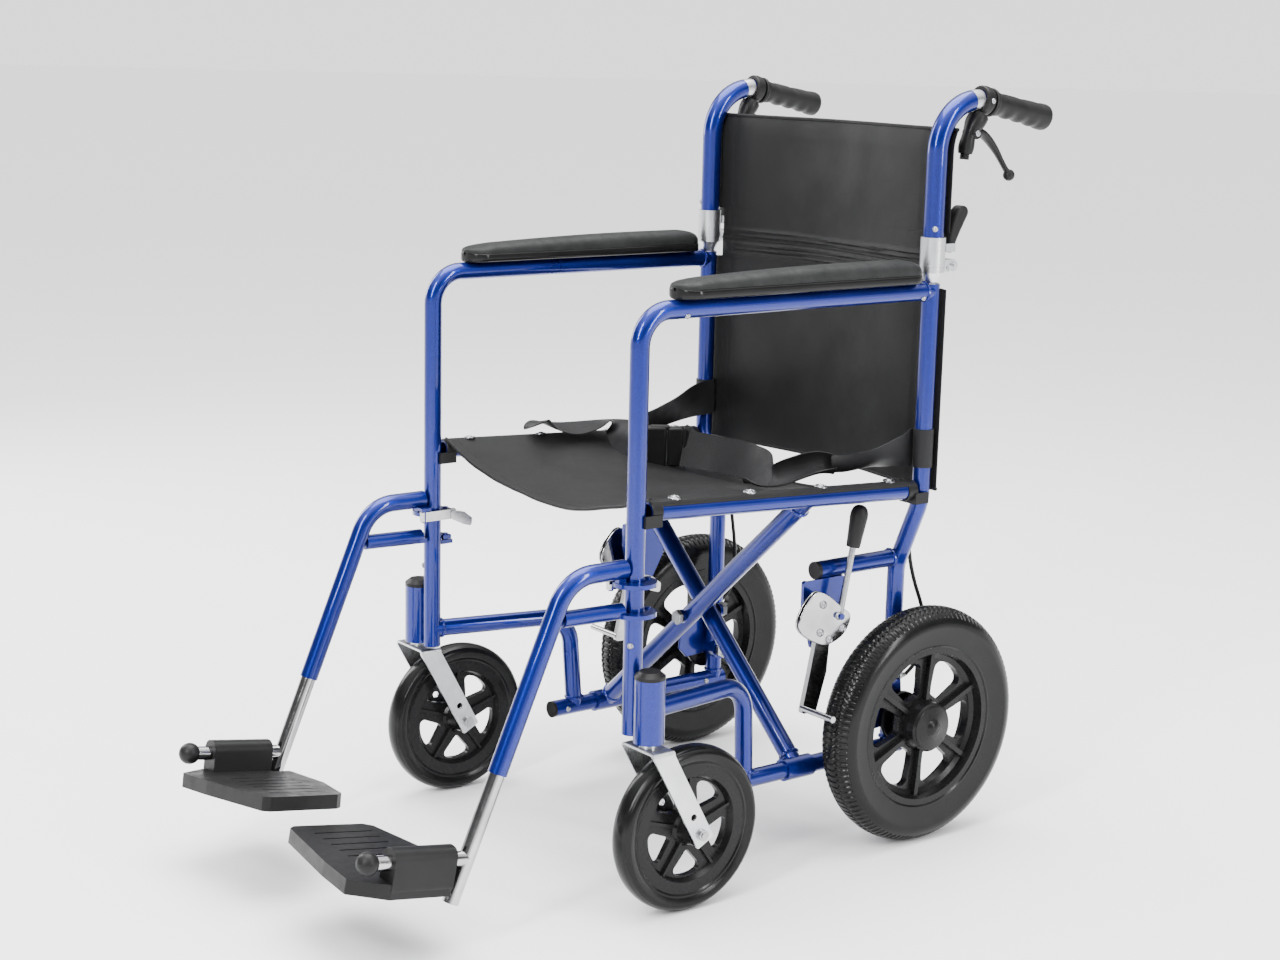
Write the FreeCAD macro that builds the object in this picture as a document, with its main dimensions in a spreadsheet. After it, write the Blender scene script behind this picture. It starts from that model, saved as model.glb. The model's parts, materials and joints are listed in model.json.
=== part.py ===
"""Folding transport wheelchair: tubular frame, scissor fold, fold-down back, swing-away legrests.

Frame of reference: +Z up, the occupant faces -Y and the occupant's left is +X. The origin lies on the
floor under the middle of the chair. Left-hand pieces are modelled and then mirrored to the right.
"""
import FreeCAD, Part
import math
import os
from FreeCAD import Placement, Rotation, Vector

os.makedirs("parts", exist_ok=True)
doc = FreeCAD.newDocument("transport_wheelchair")

# ------------------------------------------------------------------ driving dimensions (mm)
SIZES = {
    "side_plane": 217.0,        # centre plane of the uprights, arm tubes and seat rails
    "low_plane": 180.0,         # centre plane of the bottom rails and lower rear posts
    "front_line": -134.0,       # front upright
    "rear_line": 312.0,         # rear post and rear axle
    "frame_tube": 22.2,         # outside diameter, frame tubes
    "back_tube": 25.4,          # outside diameter, upper back posts
    "brace_tube": 24.0,         # outside diameter, cross braces
    "tube_wall": 1.8,
    "arm_height": 702.0,        # centre of the arm tube
    "arm_bend": 40.0,
    "foot_height": 215.0,       # lower end of the front upright
    "rail_height": 108.0,       # centre of the bottom rail, the fold's lower hinge
    "rail_front": 169.0,        # behind the front upright
    "seat_front_height": 474.0,
    "seat_rear_height": 454.0,
    "seat_rail_front": 15.0,    # behind the front upright
    "seat_rail_length": 415.0,
    "brace_a_line": 288.0,      # behind the front upright
    "brace_b_line": 257.0,
    "sleeve_wall": 2.9,
    "sleeve_length": 44.0,
    "running_fit": 0.05,
    "barrel_plane": 250.0,
    "barrel_radius": 18.0,
    "barrel_length": 75.0,
    "stem_radius": 6.0,
    "caster_radius": 100.0,
    "caster_trail": 57.0,
    "caster_half_width": 15.8,
    "caster_bead": 78.0,        # radius where tyre meets rim
    "caster_spokes": 5.0,
    "wheel_radius": 152.5,
    "wheel_plane": 232.7,
    "wheel_half_width": 27.0,
    "wheel_bead": 103.0,
    "wheel_spokes": 6.0,
    "wheel_parked_turn": -6.0,  # degrees the parked rear wheels have rolled
    "axle_radius": 7.95,
    "hinge_height": 733.0,
    "hinge_setback": 28.0,      # back hinge pin behind the rear post
    "post_corner_height": 946.0,
    "post_bend": 63.0,
    "grip_radius": 16.0,
    "grip_length": 105.0,
    "pad_length": 370.0,
    "pad_width": 50.0,
    "pad_height": 30.0,
    "hanger_height": 411.5,
    "hanger_bend": 50.0,
    "swing_setback": 19.0,      # legrest swing pin behind the front upright
    "foot_tube_radius": 9.4,
    "plate_length": 185.0,
    "plate_depth": 121.0,
    "plate_thickness": 17.0,
    "cloth": 2.4,
    "seat_sag": 40.0,
    "cable_radius": 2.5,
}
sheet = doc.addObject("Spreadsheet::Sheet", "Sizes")
for row, (word, value) in enumerate(SIZES.items(), start=1):
    sheet.set("A%d" % row, word)
    sheet.set("B%d" % row, str(value))
    sheet.setAlias("B%d" % row, word)
doc.recompute()


def size(word):
    """Read one driving dimension back from the sheet."""
    return float(getattr(sheet, word))


SIDE = size("side_plane")
LOW = size("low_plane")
FRONT = size("front_line")
REAR = size("rear_line")
TUBE = size("frame_tube") / 2
BACK = size("back_tube") / 2
BRACE = size("brace_tube") / 2
WALL = size("tube_wall")
FIT = size("running_fit")
RAIL = size("rail_height")
AXLE = size("wheel_radius")
GRIP_AXIS = Vector(0, 110.0, -21.0).normalize()
GRIP_START = Vector(SIDE, REAR, size("post_corner_height")) + GRIP_AXIS * (82.0 / GRIP_AXIS.y)
HANGER_TOP = Vector(SIDE, FRONT - 92.0, size("hanger_height"))
HANGER_END = Vector(215.0, FRONT - 182.5, 201.0)
LEG_AXIS = (HANGER_END - HANGER_TOP).normalize()
FOOT_PIVOT = Vector(215.0, FRONT - 221.0, 111.0)
FOOT_AXIS = Vector(0, -155.0, 26.0).normalize()
X, Y, Z = Vector(1, 0, 0), Vector(0, 1, 0), Vector(0, 0, 1)

left_nodes = []      # label of every left-hand node, mirrored at the end
nodes = {}           # label -> document object written to STEP
count = {"part": 0}


# ------------------------------------------------------------------ helpers
def fresh(kind, word):
    """Add one document object with a unique internal name."""
    count["part"] += 1
    return doc.addObject(kind, "%s_%d" % (word, count["part"]))


def bind(thing, settings):
    """Bind properties to sheet expressions, or set them when a plain number is given."""
    for name, value in settings.items():
        if isinstance(value, str):
            thing.setExpression(name, value)
        else:
            setattr(thing, name, value)


def along(start, direction):
    """Placement that takes +Z to the given direction at the start point."""
    return Placement(start, Rotation(Z, direction))


def rod(radius, length, start, direction=Z):
    thing = fresh("Part::Cylinder", "rod")
    bind(thing, {"Radius": radius, "Height": length})
    thing.Placement = along(start, direction)
    return thing


def cone(radius_low, radius_high, length, start, direction=Z):
    thing = fresh("Part::Cone", "cone")
    bind(thing, {"Radius1": radius_low, "Radius2": radius_high, "Height": length})
    thing.Placement = along(start, direction)
    return thing


def block(low, high, placement=None):
    """Box between two corners."""
    thing = fresh("Part::Box", "block")
    bind(thing, {"Length": high.x - low.x, "Width": high.y - low.y, "Height": high.z - low.z})
    thing.Placement = Placement(low, Rotation())
    if placement is not None:
        thing.Placement = placement.multiply(thing.Placement)
    return thing


def ball(radius, centre):
    thing = fresh("Part::Sphere", "ball")
    bind(thing, {"Radius": radius})
    thing.Placement.Base = centre
    return thing


def fuse(*things):
    thing = fresh("Part::MultiFuse", "fuse")
    thing.Shapes = list(things)
    return thing


def cut(base, *tools):
    """Take the tools away from the base one after another."""
    for tool in tools:
        thing = fresh("Part::Cut", "cut")
        thing.Base = base
        thing.Tool = tool
        base = thing
    return base


def common(base, tool):
    thing = fresh("Part::Common", "common")
    thing.Base = base
    thing.Tool = tool
    return thing


def rounded_path(points, radii, closed=False):
    """Straight runs through the points, joined by tangent arcs of the given radii."""
    total = len(points)
    edges = []
    previous = None
    first = None
    for i in range(total):
        here = points[i]
        corner = closed or 0 < i < total - 1
        if not corner:
            leave = enter = here
        else:
            back = (points[i - 1] - here).normalize()
            ahead = (points[(i + 1) % total] - here).normalize()
            angle = back.getAngle(ahead)
            radius = radii[i] if isinstance(radii, (list, tuple)) else radii
            reach = radius / math.tan(angle / 2)
            enter = here + back * reach
            leave = here + ahead * reach
            middle = (back + ahead).normalize()
            rim = here + middle * (radius / math.sin(angle / 2) - radius)
        if previous is not None and previous.distanceToPoint(enter) > 1e-6:
            edges.append(Part.LineSegment(previous, enter).toShape())
        if corner:
            edges.append(Part.Arc(enter, rim, leave).toShape())
        if first is None:
            first = enter
        previous = leave
    if closed and previous.distanceToPoint(first) > 1e-6:
        edges.append(Part.LineSegment(previous, first).toShape())
    return Part.Wire(edges)


def sweep(path, radius, start, direction):
    profile = fresh("Part::Circle", "profile")
    bind(profile, {"Radius": radius})
    profile.Placement = along(start, direction)
    thing = fresh("Part::Sweep", "sweep")
    thing.Sections = [profile]
    thing.Spine = (path, ["Edge%d" % (i + 1) for i in range(len(path.Shape.Edges))])
    thing.Solid = True
    thing.Frenet = False
    return thing


def bent_rod(points, radii, radius):
    """Round bar bent along a path."""
    path = fresh("Part::Feature", "path")
    path.Shape = rounded_path(points, radii)
    return sweep(path, radius, points[0], points[1] - points[0])


def bent_tube(points, radii, outer, inner):
    """Round tube bent along a path, open at both ends."""
    return cut(bent_rod(points, radii, outer), bent_rod(points, radii, inner))


def prism(points, thickness, direction, rounding=0.0):
    """Flat outline with rounded corners, pulled along a direction."""
    outline = fresh("Part::Feature", "outline")
    if rounding:
        outline.Shape = rounded_path(points, rounding, closed=True)
    else:
        outline.Shape = Part.makePolygon(points + [points[0]])
    thing = fresh("Part::Extrusion", "prism")
    thing.Base = outline
    thing.DirMode = "Custom"
    thing.Dir = direction
    bind(thing, {"LengthFwd": thickness})
    thing.Solid = True
    return thing


def turned(points, centre, axis=X):
    """Solid of revolution about an axis along X: points are (offset along X, radius)."""
    outline = fresh("Part::Feature", "outline")
    ring = [centre + Vector(a, 0, r) for a, r in points]
    outline.Shape = Part.Face(Part.makePolygon(ring + [ring[0]]))
    thing = fresh("Part::Revolution", "turned")
    thing.Source = outline
    thing.Axis = axis
    thing.Base = centre
    thing.Angle = 360.0
    thing.Solid = True
    return thing


def keep(label, thing):
    """Give a finished sub-part its node name."""
    thing.Label = label
    nodes[label] = thing
    if label.endswith("_left"):
        left_nodes.append(label)
    return thing


def at(x, behind, z):
    """Point given by its distance behind the front upright."""
    return Vector(x, FRONT + behind, z)


def seat_rail_height(behind):
    drop = (size("seat_front_height") - size("seat_rear_height")) / size("seat_rail_length")
    return size("seat_front_height") - drop * (behind - size("seat_rail_front"))


REACH = REAR - FRONT
OUTER = "Sizes.frame_tube / 2"
INNER = "Sizes.frame_tube / 2 - Sizes.tube_wall"


# ------------------------------------------------------------------ side frame
def arm_tube():
    """Front upright and arm tube in one bend, with the caster barrel and legrest pin brackets."""
    foot = at(SIDE, 0, size("foot_height"))
    corner = at(SIDE, 0, size("arm_height"))
    end = at(SIDE, REACH, size("arm_height"))
    tube = bent_tube([foot, corner, end], size("arm_bend"), OUTER, INNER)
    barrel_foot = at(size("barrel_plane"), 0, 214.0)
    barrel = rod("Sizes.barrel_radius", "Sizes.barrel_length", barrel_foot)
    web = block(at(SIDE + 9.5, -5, 222), at(SIDE + 24, 5, 281))
    brackets = []
    for level in (350.0, 385.0):
        brackets.append(block(at(SIDE - 6, 9.6, level), at(SIDE + 6, 27, level + 5)))
        brackets.append(rod(4.0, 13.0, at(SIDE, size("swing_setback"), level)))
    solid = fuse(tube, barrel, web, *brackets)
    bore = rod("Sizes.stem_radius + Sizes.running_fit", 80.0, barrel_foot - Z * 2)
    post = rod(OUTER, 40.0, at(SIDE, REACH, size("arm_height") - 20))
    keep("arm_tube_left", cut(solid, bore, post))


def rear_post():
    """Rear post with its inboard jog, axle housing and the brake stub."""
    points = [
        at(SIDE, REACH, 711),
        at(SIDE, REACH, 438),
        at(LOW, REACH, 350),
        at(LOW, REACH, RAIL),
    ]
    post = bent_rod(points, 60.0, OUTER)
    housing = rod(14.0, 30.0, Vector(LOW - 15, REAR, AXLE), X)
    stub = rod(OUTER, REACH - 311, at(LOW, 311, 359), Y)
    hollow = bent_rod(points, 60.0, INNER)
    stub_hollow = rod(INNER, REACH - 311 - TUBE, at(LOW, 310, 359), Y)
    axle_bore = rod("Sizes.axle_radius + Sizes.running_fit", 50.0, Vector(LOW - 25, REAR, AXLE), X)
    rail = rod(OUTER, 60.0, at(LOW, REACH - 30, RAIL), Y)
    axle_boss = rod(12.0, 2 * TUBE, Vector(LOW - TUBE, REAR, AXLE), X)
    core = cut(hollow, axle_boss)
    keep("rear_post_left", cut(fuse(post, housing, stub), core, stub_hollow, axle_bore, rail))


def side_rail():
    """Lower side tube that bends down into the bottom rail."""
    bend_foot = at(LOW, 203, RAIL)
    points = [at(SIDE, 0, 237.5), at(184, 195, 234), bend_foot]
    side = bent_rod(points, 40.0, OUTER)
    rail = rod(OUTER, REACH + 14 - size("rail_front"), at(LOW, size("rail_front"), RAIL), Y)
    upright = rod(OUTER, 60.0, at(SIDE, 0, 205))
    bore = rod(INNER, REACH + 20 - size("rail_front"), at(LOW, size("rail_front") - 1, RAIL), Y)
    keep("side_rail_left", cut(fuse(side, rail), upright, bore))


def frame_plugs():
    """Black mouldings: seat rail cradles, caster barrel cap, and tube end caps."""
    pieces = []
    front_rail = seat_rail_height(size("seat_rail_front") + 6)
    rear_end = size("seat_rail_front") + size("seat_rail_length")
    rear_rail = seat_rail_height(rear_end - 6)
    spans = ((3.0, 27.0, front_rail), (rear_end - 6, REACH, rear_rail))
    for start, end, rail in spans:
        body = block(at(SIDE - 14.5, start, rail - 16), at(SIDE + 14.5, end, rail - 2))
        trough = rod(TUBE + 0.6, 80.0, at(SIDE, start - 20, rail), Y)
        post = rod(TUBE + 0.05, 80.0, at(SIDE, 0 if start < 100 else REACH, rail - 40))
        shapes = [trough, post]
        if start > 100:
            points = [at(SIDE, REACH, 560), at(SIDE, REACH, 438), at(LOW, REACH, 350)]
            shapes.append(bent_rod(points, 60.0, TUBE + 0.05))
        pieces.append(cut(body, *shapes))
    barrel_top = at(size("barrel_plane"), 0, 214 + size("barrel_length"))
    dome = fuse(rod("Sizes.barrel_radius", 4.0, barrel_top), cone(18.0, 12.0, 5.0, barrel_top + Z * 4))
    pieces.append(cut(dome, rod(TUBE + 0.2, 30.0, at(SIDE, 0, 280))))
    pieces.append(rod(OUTER, 4.0, at(LOW, size("rail_front") - 4, RAIL), Y))
    pieces.append(rod(OUTER, 5.0, at(LOW, 306, 359), Y))
    pieces.append(rod(OUTER, 4.0, at(LOW, REACH + 14, RAIL), Y))
    keep("frame_plugs_left", fuse(*pieces))


def arm_pad():
    """Padded arm rest on its moulded base."""
    half = size("pad_width") / 2
    low = size("arm_height") + TUBE + 0.1
    front = 47.0
    end = front + size("pad_length")
    outline = [at(SIDE - half, front, low), at(SIDE + half, front, low)]
    outline += [at(SIDE + half, end, low), at(SIDE - half, end, low)]
    pad = prism(outline, "Sizes.pad_height * 0.7", Z, 22.0)
    crown = [p + Z * (size("pad_height") * 0.7) for p in outline]
    inset = [Vector(3, 3, 0), Vector(-3, 3, 0), Vector(-3, -3, 0), Vector(3, -3, 0)]
    crown = [p + shift for p, shift in zip(crown, inset)]
    keep("arm_pad_left", fuse(pad, prism(crown, "Sizes.pad_height * 0.3", Z, 19.0)))


# ------------------------------------------------------------------ casters
CASTER = at(size("barrel_plane"), size("caster_trail"), size("caster_radius"))


def caster_fork():
    """Bent strap fork with its stem."""
    plane = size("barrel_plane")
    half = 31.6
    top = 209.0
    section = [Vector(plane - half, FRONT - 60, 70), Vector(plane + half, FRONT - 60, 70)]
    section += [Vector(plane + half, FRONT - 60, top), Vector(plane - half, FRONT - 60, top)]
    inner = [Vector(plane - half + 3, FRONT - 61, 60), Vector(plane + half - 3, FRONT - 61, 60)]
    inner += [Vector(plane + half - 3, FRONT - 61, top - 3), Vector(plane - half + 3, FRONT - 61, top - 3)]
    channel = cut(prism(section, 180.0, Y, 5.0), prism(inner, 182.0, Y, 2.0))
    strap = (Vector(0, size("caster_trail"), size("caster_radius") - top + 4)).normalize()
    side = Vector(0, -strap.z, strap.y) * 13.0
    hub = CASTER - X * size("barrel_plane")
    profile = [Vector(0, FRONT - 15, top + 1), Vector(0, FRONT - 15, top - 6)]
    profile += [hub - side + strap * 12, hub + side + strap * 12]
    profile += [Vector(0, FRONT + 15, top - 6), Vector(0, FRONT + 15, top + 1)]
    profile = [p + X * (plane - 40) for p in profile]
    fork = common(channel, prism(profile, 80.0, X, 2.5))
    stem = rod("Sizes.stem_radius", 72.0, at(plane, 0, top - 1))
    spare = rod(4.2, 90.0, CASTER - strap * 27 - X * 45, X)
    axle_hole = rod(4.0, 90.0, CASTER - X * 45, X)
    head = cut(rod(11.0, 3.6, at(plane, 0, top - 0.1)), rod(5.0, 6.0, at(plane, 0, top - 1)))
    keep("caster_fork_left", cut(fuse(fork, stem, head), spare, axle_hole))


def spoked_disc(centre, profile, windows, ribs):
    """Turned disc with windows cut through it and a rib along each spoke."""
    disc = turned(profile, centre)
    return cut(fuse(disc, *ribs), *windows)


def caster_wheel():
    """Five-spoke caster rim."""
    bead = size("caster_bead")
    profile = [(-26, 5), (-26, 15), (-8, 19), (-4, 22), (-4, 60), (-11, 64), (-11, bead)]
    profile += [(11, bead), (11, 64), (4, 60), (4, 22), (8, 19), (26, 15), (26, 5)]
    windows = []
    ribs = []
    total = int(size("caster_spokes"))
    for i in range(total):
        turn = math.radians(90 + 360.0 * (i + 0.5) / total)
        spin = math.radians(90 + 360.0 * i / total)
        corners = ((25, 0.0), (57, 0.42), (61, 0.0), (57, -0.42))
        outline = [
            CASTER + Vector(-20, r * math.cos(turn + a), r * math.sin(turn + a)) for r, a in corners
        ]
        windows.append(prism(outline, 40.0, X, [3.5, 6.0, 40.0, 6.0]))
        direction = Vector(0, math.cos(spin), math.sin(spin))
        frame = Placement(CASTER, Rotation(Z, direction))
        ribs.append(block(Vector(-8, -1.6, 17), Vector(8, 1.6, 65), frame))
    bore = rod(4.05, 60.0, CASTER - X * 30, X)
    wheel = spoked_disc(CASTER, profile, windows, ribs)
    keep("caster_wheel_left", cut(wheel, bore))


def tyre_profile(radius, half_width, bead, bead_half):
    """Rounded tyre section as (offset, radius) points."""
    points = [(-bead_half, bead)]
    middle = (radius + bead) / 2 + 2
    for i in range(13):
        turn = math.pi * i / 12
        across = -half_width * math.cos(turn)
        rise = (radius - middle) * math.sin(turn)
        points.append((across, middle + rise))
    points.append((bead_half, bead))
    return points


def caster_tyre():
    """Solid grey-black caster tyre."""
    profile = tyre_profile(size("caster_radius"), size("caster_half_width"), size("caster_bead"), 11.0)
    keep("caster_tyre_left", turned(profile, CASTER))


def caster_axle():
    """Axle bolt, nut and spacers through the fork."""
    bolt = rod(4.0, 74.0, CASTER - X * 37, X)
    head = rod(6.5, 4.2, CASTER + X * 31.6, X)
    nut = rod(7.0, 5.0, CASTER - X * 36.6, X)
    spacers = [rod(7.0, 2.2, CASTER + X * 26.3, X), rod(7.0, 2.2, CASTER - X * 28.5, X)]
    keep("caster_axle_left", fuse(bolt, head, nut, *spacers))


# ------------------------------------------------------------------ rear wheels
WHEEL = Vector(size("wheel_plane"), REAR, AXLE)


def rear_rim():
    """Six-spoke rear wheel with hub cap."""
    bead = size("wheel_bead")
    profile = [(-26, 5), (-26, 22), (-6, 24), (-5, 28), (-5, 86), (-8, 92), (-19, 95), (-19, bead)]
    profile += [(19, bead), (19, 95), (8, 92), (5, 86), (5, 34), (12, 32), (23, 31.5), (25.5, 29)]
    profile += [(26.3, 8), (29, 6), (29, 3), (22, 3), (22, 5)]
    windows = []
    ribs = []
    total = int(size("wheel_spokes"))
    for i in range(total):
        turn = math.radians(90 + 360.0 * (i + 0.5) / total)
        spin = math.radians(90 + 360.0 * i / total)
        corners = ((40, 0.3), (83, 0.36), (88, 0.0), (83, -0.36), (40, -0.3))
        outline = [WHEEL + Vector(-30, r * math.cos(turn + a), r * math.sin(turn + a)) for r, a in corners]
        windows.append(prism(outline, 60.0, X, [6.0, 10.0, 45.0, 10.0, 6.0]))
        frame = Placement(WHEEL, Rotation(Z, Vector(0, math.cos(spin), math.sin(spin))))
        ribs.append(block(Vector(-12, -3.0, 24), Vector(12, 3.0, 94), frame))
    bore = rod("Sizes.axle_radius + Sizes.running_fit", 47.0, WHEEL - X * 27, X)
    wheel = cut(spoked_disc(WHEEL, profile, windows, ribs), bore)
    wheel.Placement = Placement(Vector(), Rotation(X, size("wheel_parked_turn")), WHEEL)
    keep("rear_rim_left", wheel)


def rear_tyre():
    """Pneumatic rear tyre."""
    profile = tyre_profile(size("wheel_radius"), size("wheel_half_width"), size("wheel_bead"), 19.0)
    keep("rear_tyre_left", turned(profile, WHEEL))


def hub_brake():
    """Fixed axle with the band brake cover, its arm and the cable anchor."""
    start = Vector(LOW - 17, REAR, AXLE)
    axle = rod("Sizes.axle_radius", WHEEL.x + 18 - start.x, start, X)
    nut = rod(12.0, 6.0, start - X * 6, X)
    cover = rod(44.0, 9.0, Vector(LOW + 15, REAR, AXLE), X)
    arm_outline = ((-10, 0), (-44, 18), (-10, 62), (3, 58), (14, 0))
    arm = [Vector(LOW + 15, REAR + y, AXLE + z) for y, z in arm_outline]
    plate = prism(arm, 4.0, X, 6.0)
    anchor = block(Vector(LOW + 11.3, REAR - 8, AXLE + 46), Vector(LOW + 19, REAR + 4, AXLE + 60))
    socket = rod(3.2, 29.0, Vector(LOW + 15, REAR + 9.4, AXLE + 53), Vector(0, -1, 0))
    keep("hub_brake_left", fuse(axle, nut, cover, plate, anchor, socket))


# ------------------------------------------------------------------ back
HINGE = Vector(SIDE, REAR + size("hinge_setback"), size("hinge_height"))


def back_post_line():
    foot = Vector(SIDE, REAR, size("hinge_height") + 4)
    corner = Vector(SIDE, REAR, size("post_corner_height"))
    return [foot, corner, GRIP_START + GRIP_AXIS * (size("grip_length") - 6)]


def back_post():
    """Upper back post that bends rearwards into the push handle."""
    outer = "Sizes.back_tube / 2"
    inner = "Sizes.back_tube / 2 - Sizes.tube_wall"
    keep("back_post_left", bent_tube(back_post_line(), size("post_bend"), outer, inner))


def back_clamp():
    """Lower casting of the back hinge, plugged into the rear post."""
    low = Vector(SIDE, REAR, 711)
    spigot = rod(TUBE - WALL - 0.1, 30.0, low - Z * 30)
    neck = cone(8.0, 14.0, 14.0, low)
    top = size("hinge_height") - 1.3
    rim = rod(15.0, top - 725, Vector(SIDE, REAR, 725))
    setback = size("hinge_setback")
    tongue = block(Vector(SIDE - 4, REAR + 8, 725), Vector(SIDE + 4, REAR + setback, top))
    eye = rod(7.5, 8.0, HINGE - X * 4, X)
    pin = rod(3.5, 26.0, HINGE - X * 13, X)
    keep("back_clamp_left", fuse(spigot, neck, rim, tongue, eye, pin))


def back_hinge():
    """Upper sleeve of the back hinge with two ears on the pin and two for the release lever."""
    foot = Vector(SIDE, REAR, size("hinge_height") - 1.0)
    sleeve = rod(15.5, 36.0, foot)
    ears = []
    for side in (-1, 1):
        start = HINGE + X * (side * 6.6) - X * 2
        ears.append(rod(7.5, 4.0, start, X))
        low = Vector(start.x, REAR + 8, HINGE.z - 1)
        ears.append(block(low, low + Vector(4, size("hinge_setback") - 8, 8.5)))
        lug = Vector(SIDE + side * 9.4 - 1.6, REAR + 12, HINGE.z + 17)
        ears.append(block(lug, lug + Vector(3.2, 16, 10)))
    bore = rod("Sizes.back_tube / 2", 60.0, Vector(SIDE, REAR, HINGE.z - 10))
    pin_bore = rod(3.55, 40.0, HINGE - X * 20, X)
    pin = rod(2.0, 22.0, Vector(SIDE - 11, REAR + 24, HINGE.z + 22), X)
    swept = rod(8.0, 8.4, HINGE - X * 4.2, X)
    keep("back_hinge_left", fuse(cut(fuse(sleeve, *ears), bore, pin_bore, swept), pin))


LEVER_PIVOT = Vector(SIDE, REAR + 24, HINGE.z + 22)


def back_lever():
    """Release lever behind the hinge sleeve."""
    side_view = ((-3.5, -4), (3.5, -4), (8, 12), (26, 46), (16, 50), (1, 14))
    outline = [LEVER_PIVOT + Vector(-7, y, z) for y, z in side_view]
    paddle = prism(outline, 14.0, X, 2.0)
    keep("back_lever_left", cut(paddle, rod(2.05, 20.0, LEVER_PIVOT - X * 10, X)))


def push_grip():
    """Hand grip over the end of the handle."""
    grip = rod("Sizes.grip_radius", "Sizes.grip_length", GRIP_START, GRIP_AXIS)
    bore = rod("Sizes.back_tube / 2", "Sizes.grip_length - 6", GRIP_START, GRIP_AXIS)
    keep("push_grip_left", cut(grip, bore))


BRAKE_PIVOT = Vector(SIDE, REAR + 57, 893)


def brake_mount():
    """Ring clamp of the hand brake with its lever housing."""
    ring_start = GRIP_START - GRIP_AXIS * 16
    ring = rod(17.5, 14.0, ring_start, GRIP_AXIS)
    side_view = ((64, 924), (80, 920), (68, 888), (50, 872), (42, 880))
    outline = [Vector(SIDE - 9, REAR + y, z) for y, z in side_view]
    arm = prism(outline, 18.0, X, 3.0)
    slot = block(Vector(SIDE - 5, REAR + 47, 868), Vector(SIDE + 5, REAR + 90, 903))
    bore = bent_rod(back_post_line(), size("post_bend"), "Sizes.back_tube / 2 + Sizes.running_fit")
    pin = rod(2.5, 18.0, BRAKE_PIVOT - X * 9, X)
    keep("brake_mount_left", fuse(cut(fuse(ring, arm), bore, slot), pin))


def brake_lever():
    """Curved hand brake lever."""
    side_view = [(52, 887), (52, 898), (60, 899), (84, 888), (104, 872), (128, 845)]
    side_view += [(128, 838), (119, 838), (98, 862), (80, 877), (62, 885)]
    outline = [Vector(SIDE - 4.5, REAR + y, z) for y, z in side_view]
    lever = prism(outline, 9.0, X, 1.5)
    keep("brake_lever_left", cut(lever, rod(2.55, 30.0, BRAKE_PIVOT - X * 15, X)))


# ------------------------------------------------------------------ legrests
LATCH = Vector(SIDE - 15.5, FRONT - 22, 384)


def legrest_hanger():
    """Legrest tube, its strut, the two hook plates and the latch tab."""
    height = size("hanger_height")
    points = [at(SIDE, -14.5, height), HANGER_TOP, HANGER_END]
    tube = bent_rod(points, size("hanger_bend"), OUTER)
    core_points = [points[0] - Y * 2, HANGER_TOP, HANGER_END + LEG_AXIS]
    core_radius = "Sizes.foot_tube_radius + Sizes.running_fit"
    hollow = bent_rod(core_points, size("hanger_bend"), core_radius)
    strut = rod(9.5, 82.0, at(SIDE, -100, 365), Vector(0, 82, -2))
    hooks = []
    for level in (356.0, 391.0):
        plate = rod(26.0, 5.0, at(SIDE, 0, level))
        inner = rod(12.0, 9.0, at(SIDE, 0, level - 2))
        spare = block(at(SIDE - 40, -14, level - 2), at(SIDE - 5, 40, level + 8))
        corner = block(at(SIDE - 40, -40, level - 2), at(SIDE - 9.8, -14, level + 8))
        relief = block(at(SIDE - 8, -1, level - 2), at(SIDE, 13.6, level + 8))
        hole = rod(4.05, 9.0, at(SIDE, size("swing_setback"), level - 2))
        hooks.append(cut(plate, inner, spare, corner, relief, hole))
    web = block(at(SIDE - 4, -25, 391), at(SIDE + 4, -15, 406))
    tab = block(at(SIDE - 22, -29, 400), at(SIDE, -15.2, 404))
    pin = rod(3.0, 18.0, LATCH)
    keep("legrest_hanger_left", fuse(cut(fuse(tube, strut, web, tab), hollow), *hooks, pin))


def legrest_latch():
    """Stirrup that closes round the inboard side of the upright, with its thumb lever."""
    stirrup = block(at(SIDE - 18.4, -26.5, 385.5), at(SIDE - 12.6, 24, 398))
    side_view = ((16, 386), (16, 397), (36, 393), (48, 384), (47, 373), (34, 377))
    outline = [at(SIDE - 20, y, z) for y, z in side_view]
    lever = prism(outline, 7.0, X, 3.0)
    keep("legrest_latch_left", cut(fuse(stirrup, lever), rod(3.05, 30.0, LATCH - Z * 5)))


def foot_tube():
    """Sliding inner leg tube with the footplate's pivot tube."""
    top = HANGER_END - LEG_AXIS * 110
    length = HANGER_END.distanceToPoint(FOOT_PIVOT) + 110 + 52
    leg = rod("Sizes.foot_tube_radius", length, top, LEG_AXIS)
    mouth = rod("Sizes.foot_tube_radius - Sizes.tube_wall", 42.0, FOOT_PIVOT + LEG_AXIS * 12, LEG_AXIS)
    pivot = rod(8.5, 118.0, FOOT_PIVOT, FOOT_AXIS)
    keep("foot_tube_left", fuse(cut(leg, mouth), pivot))


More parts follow.
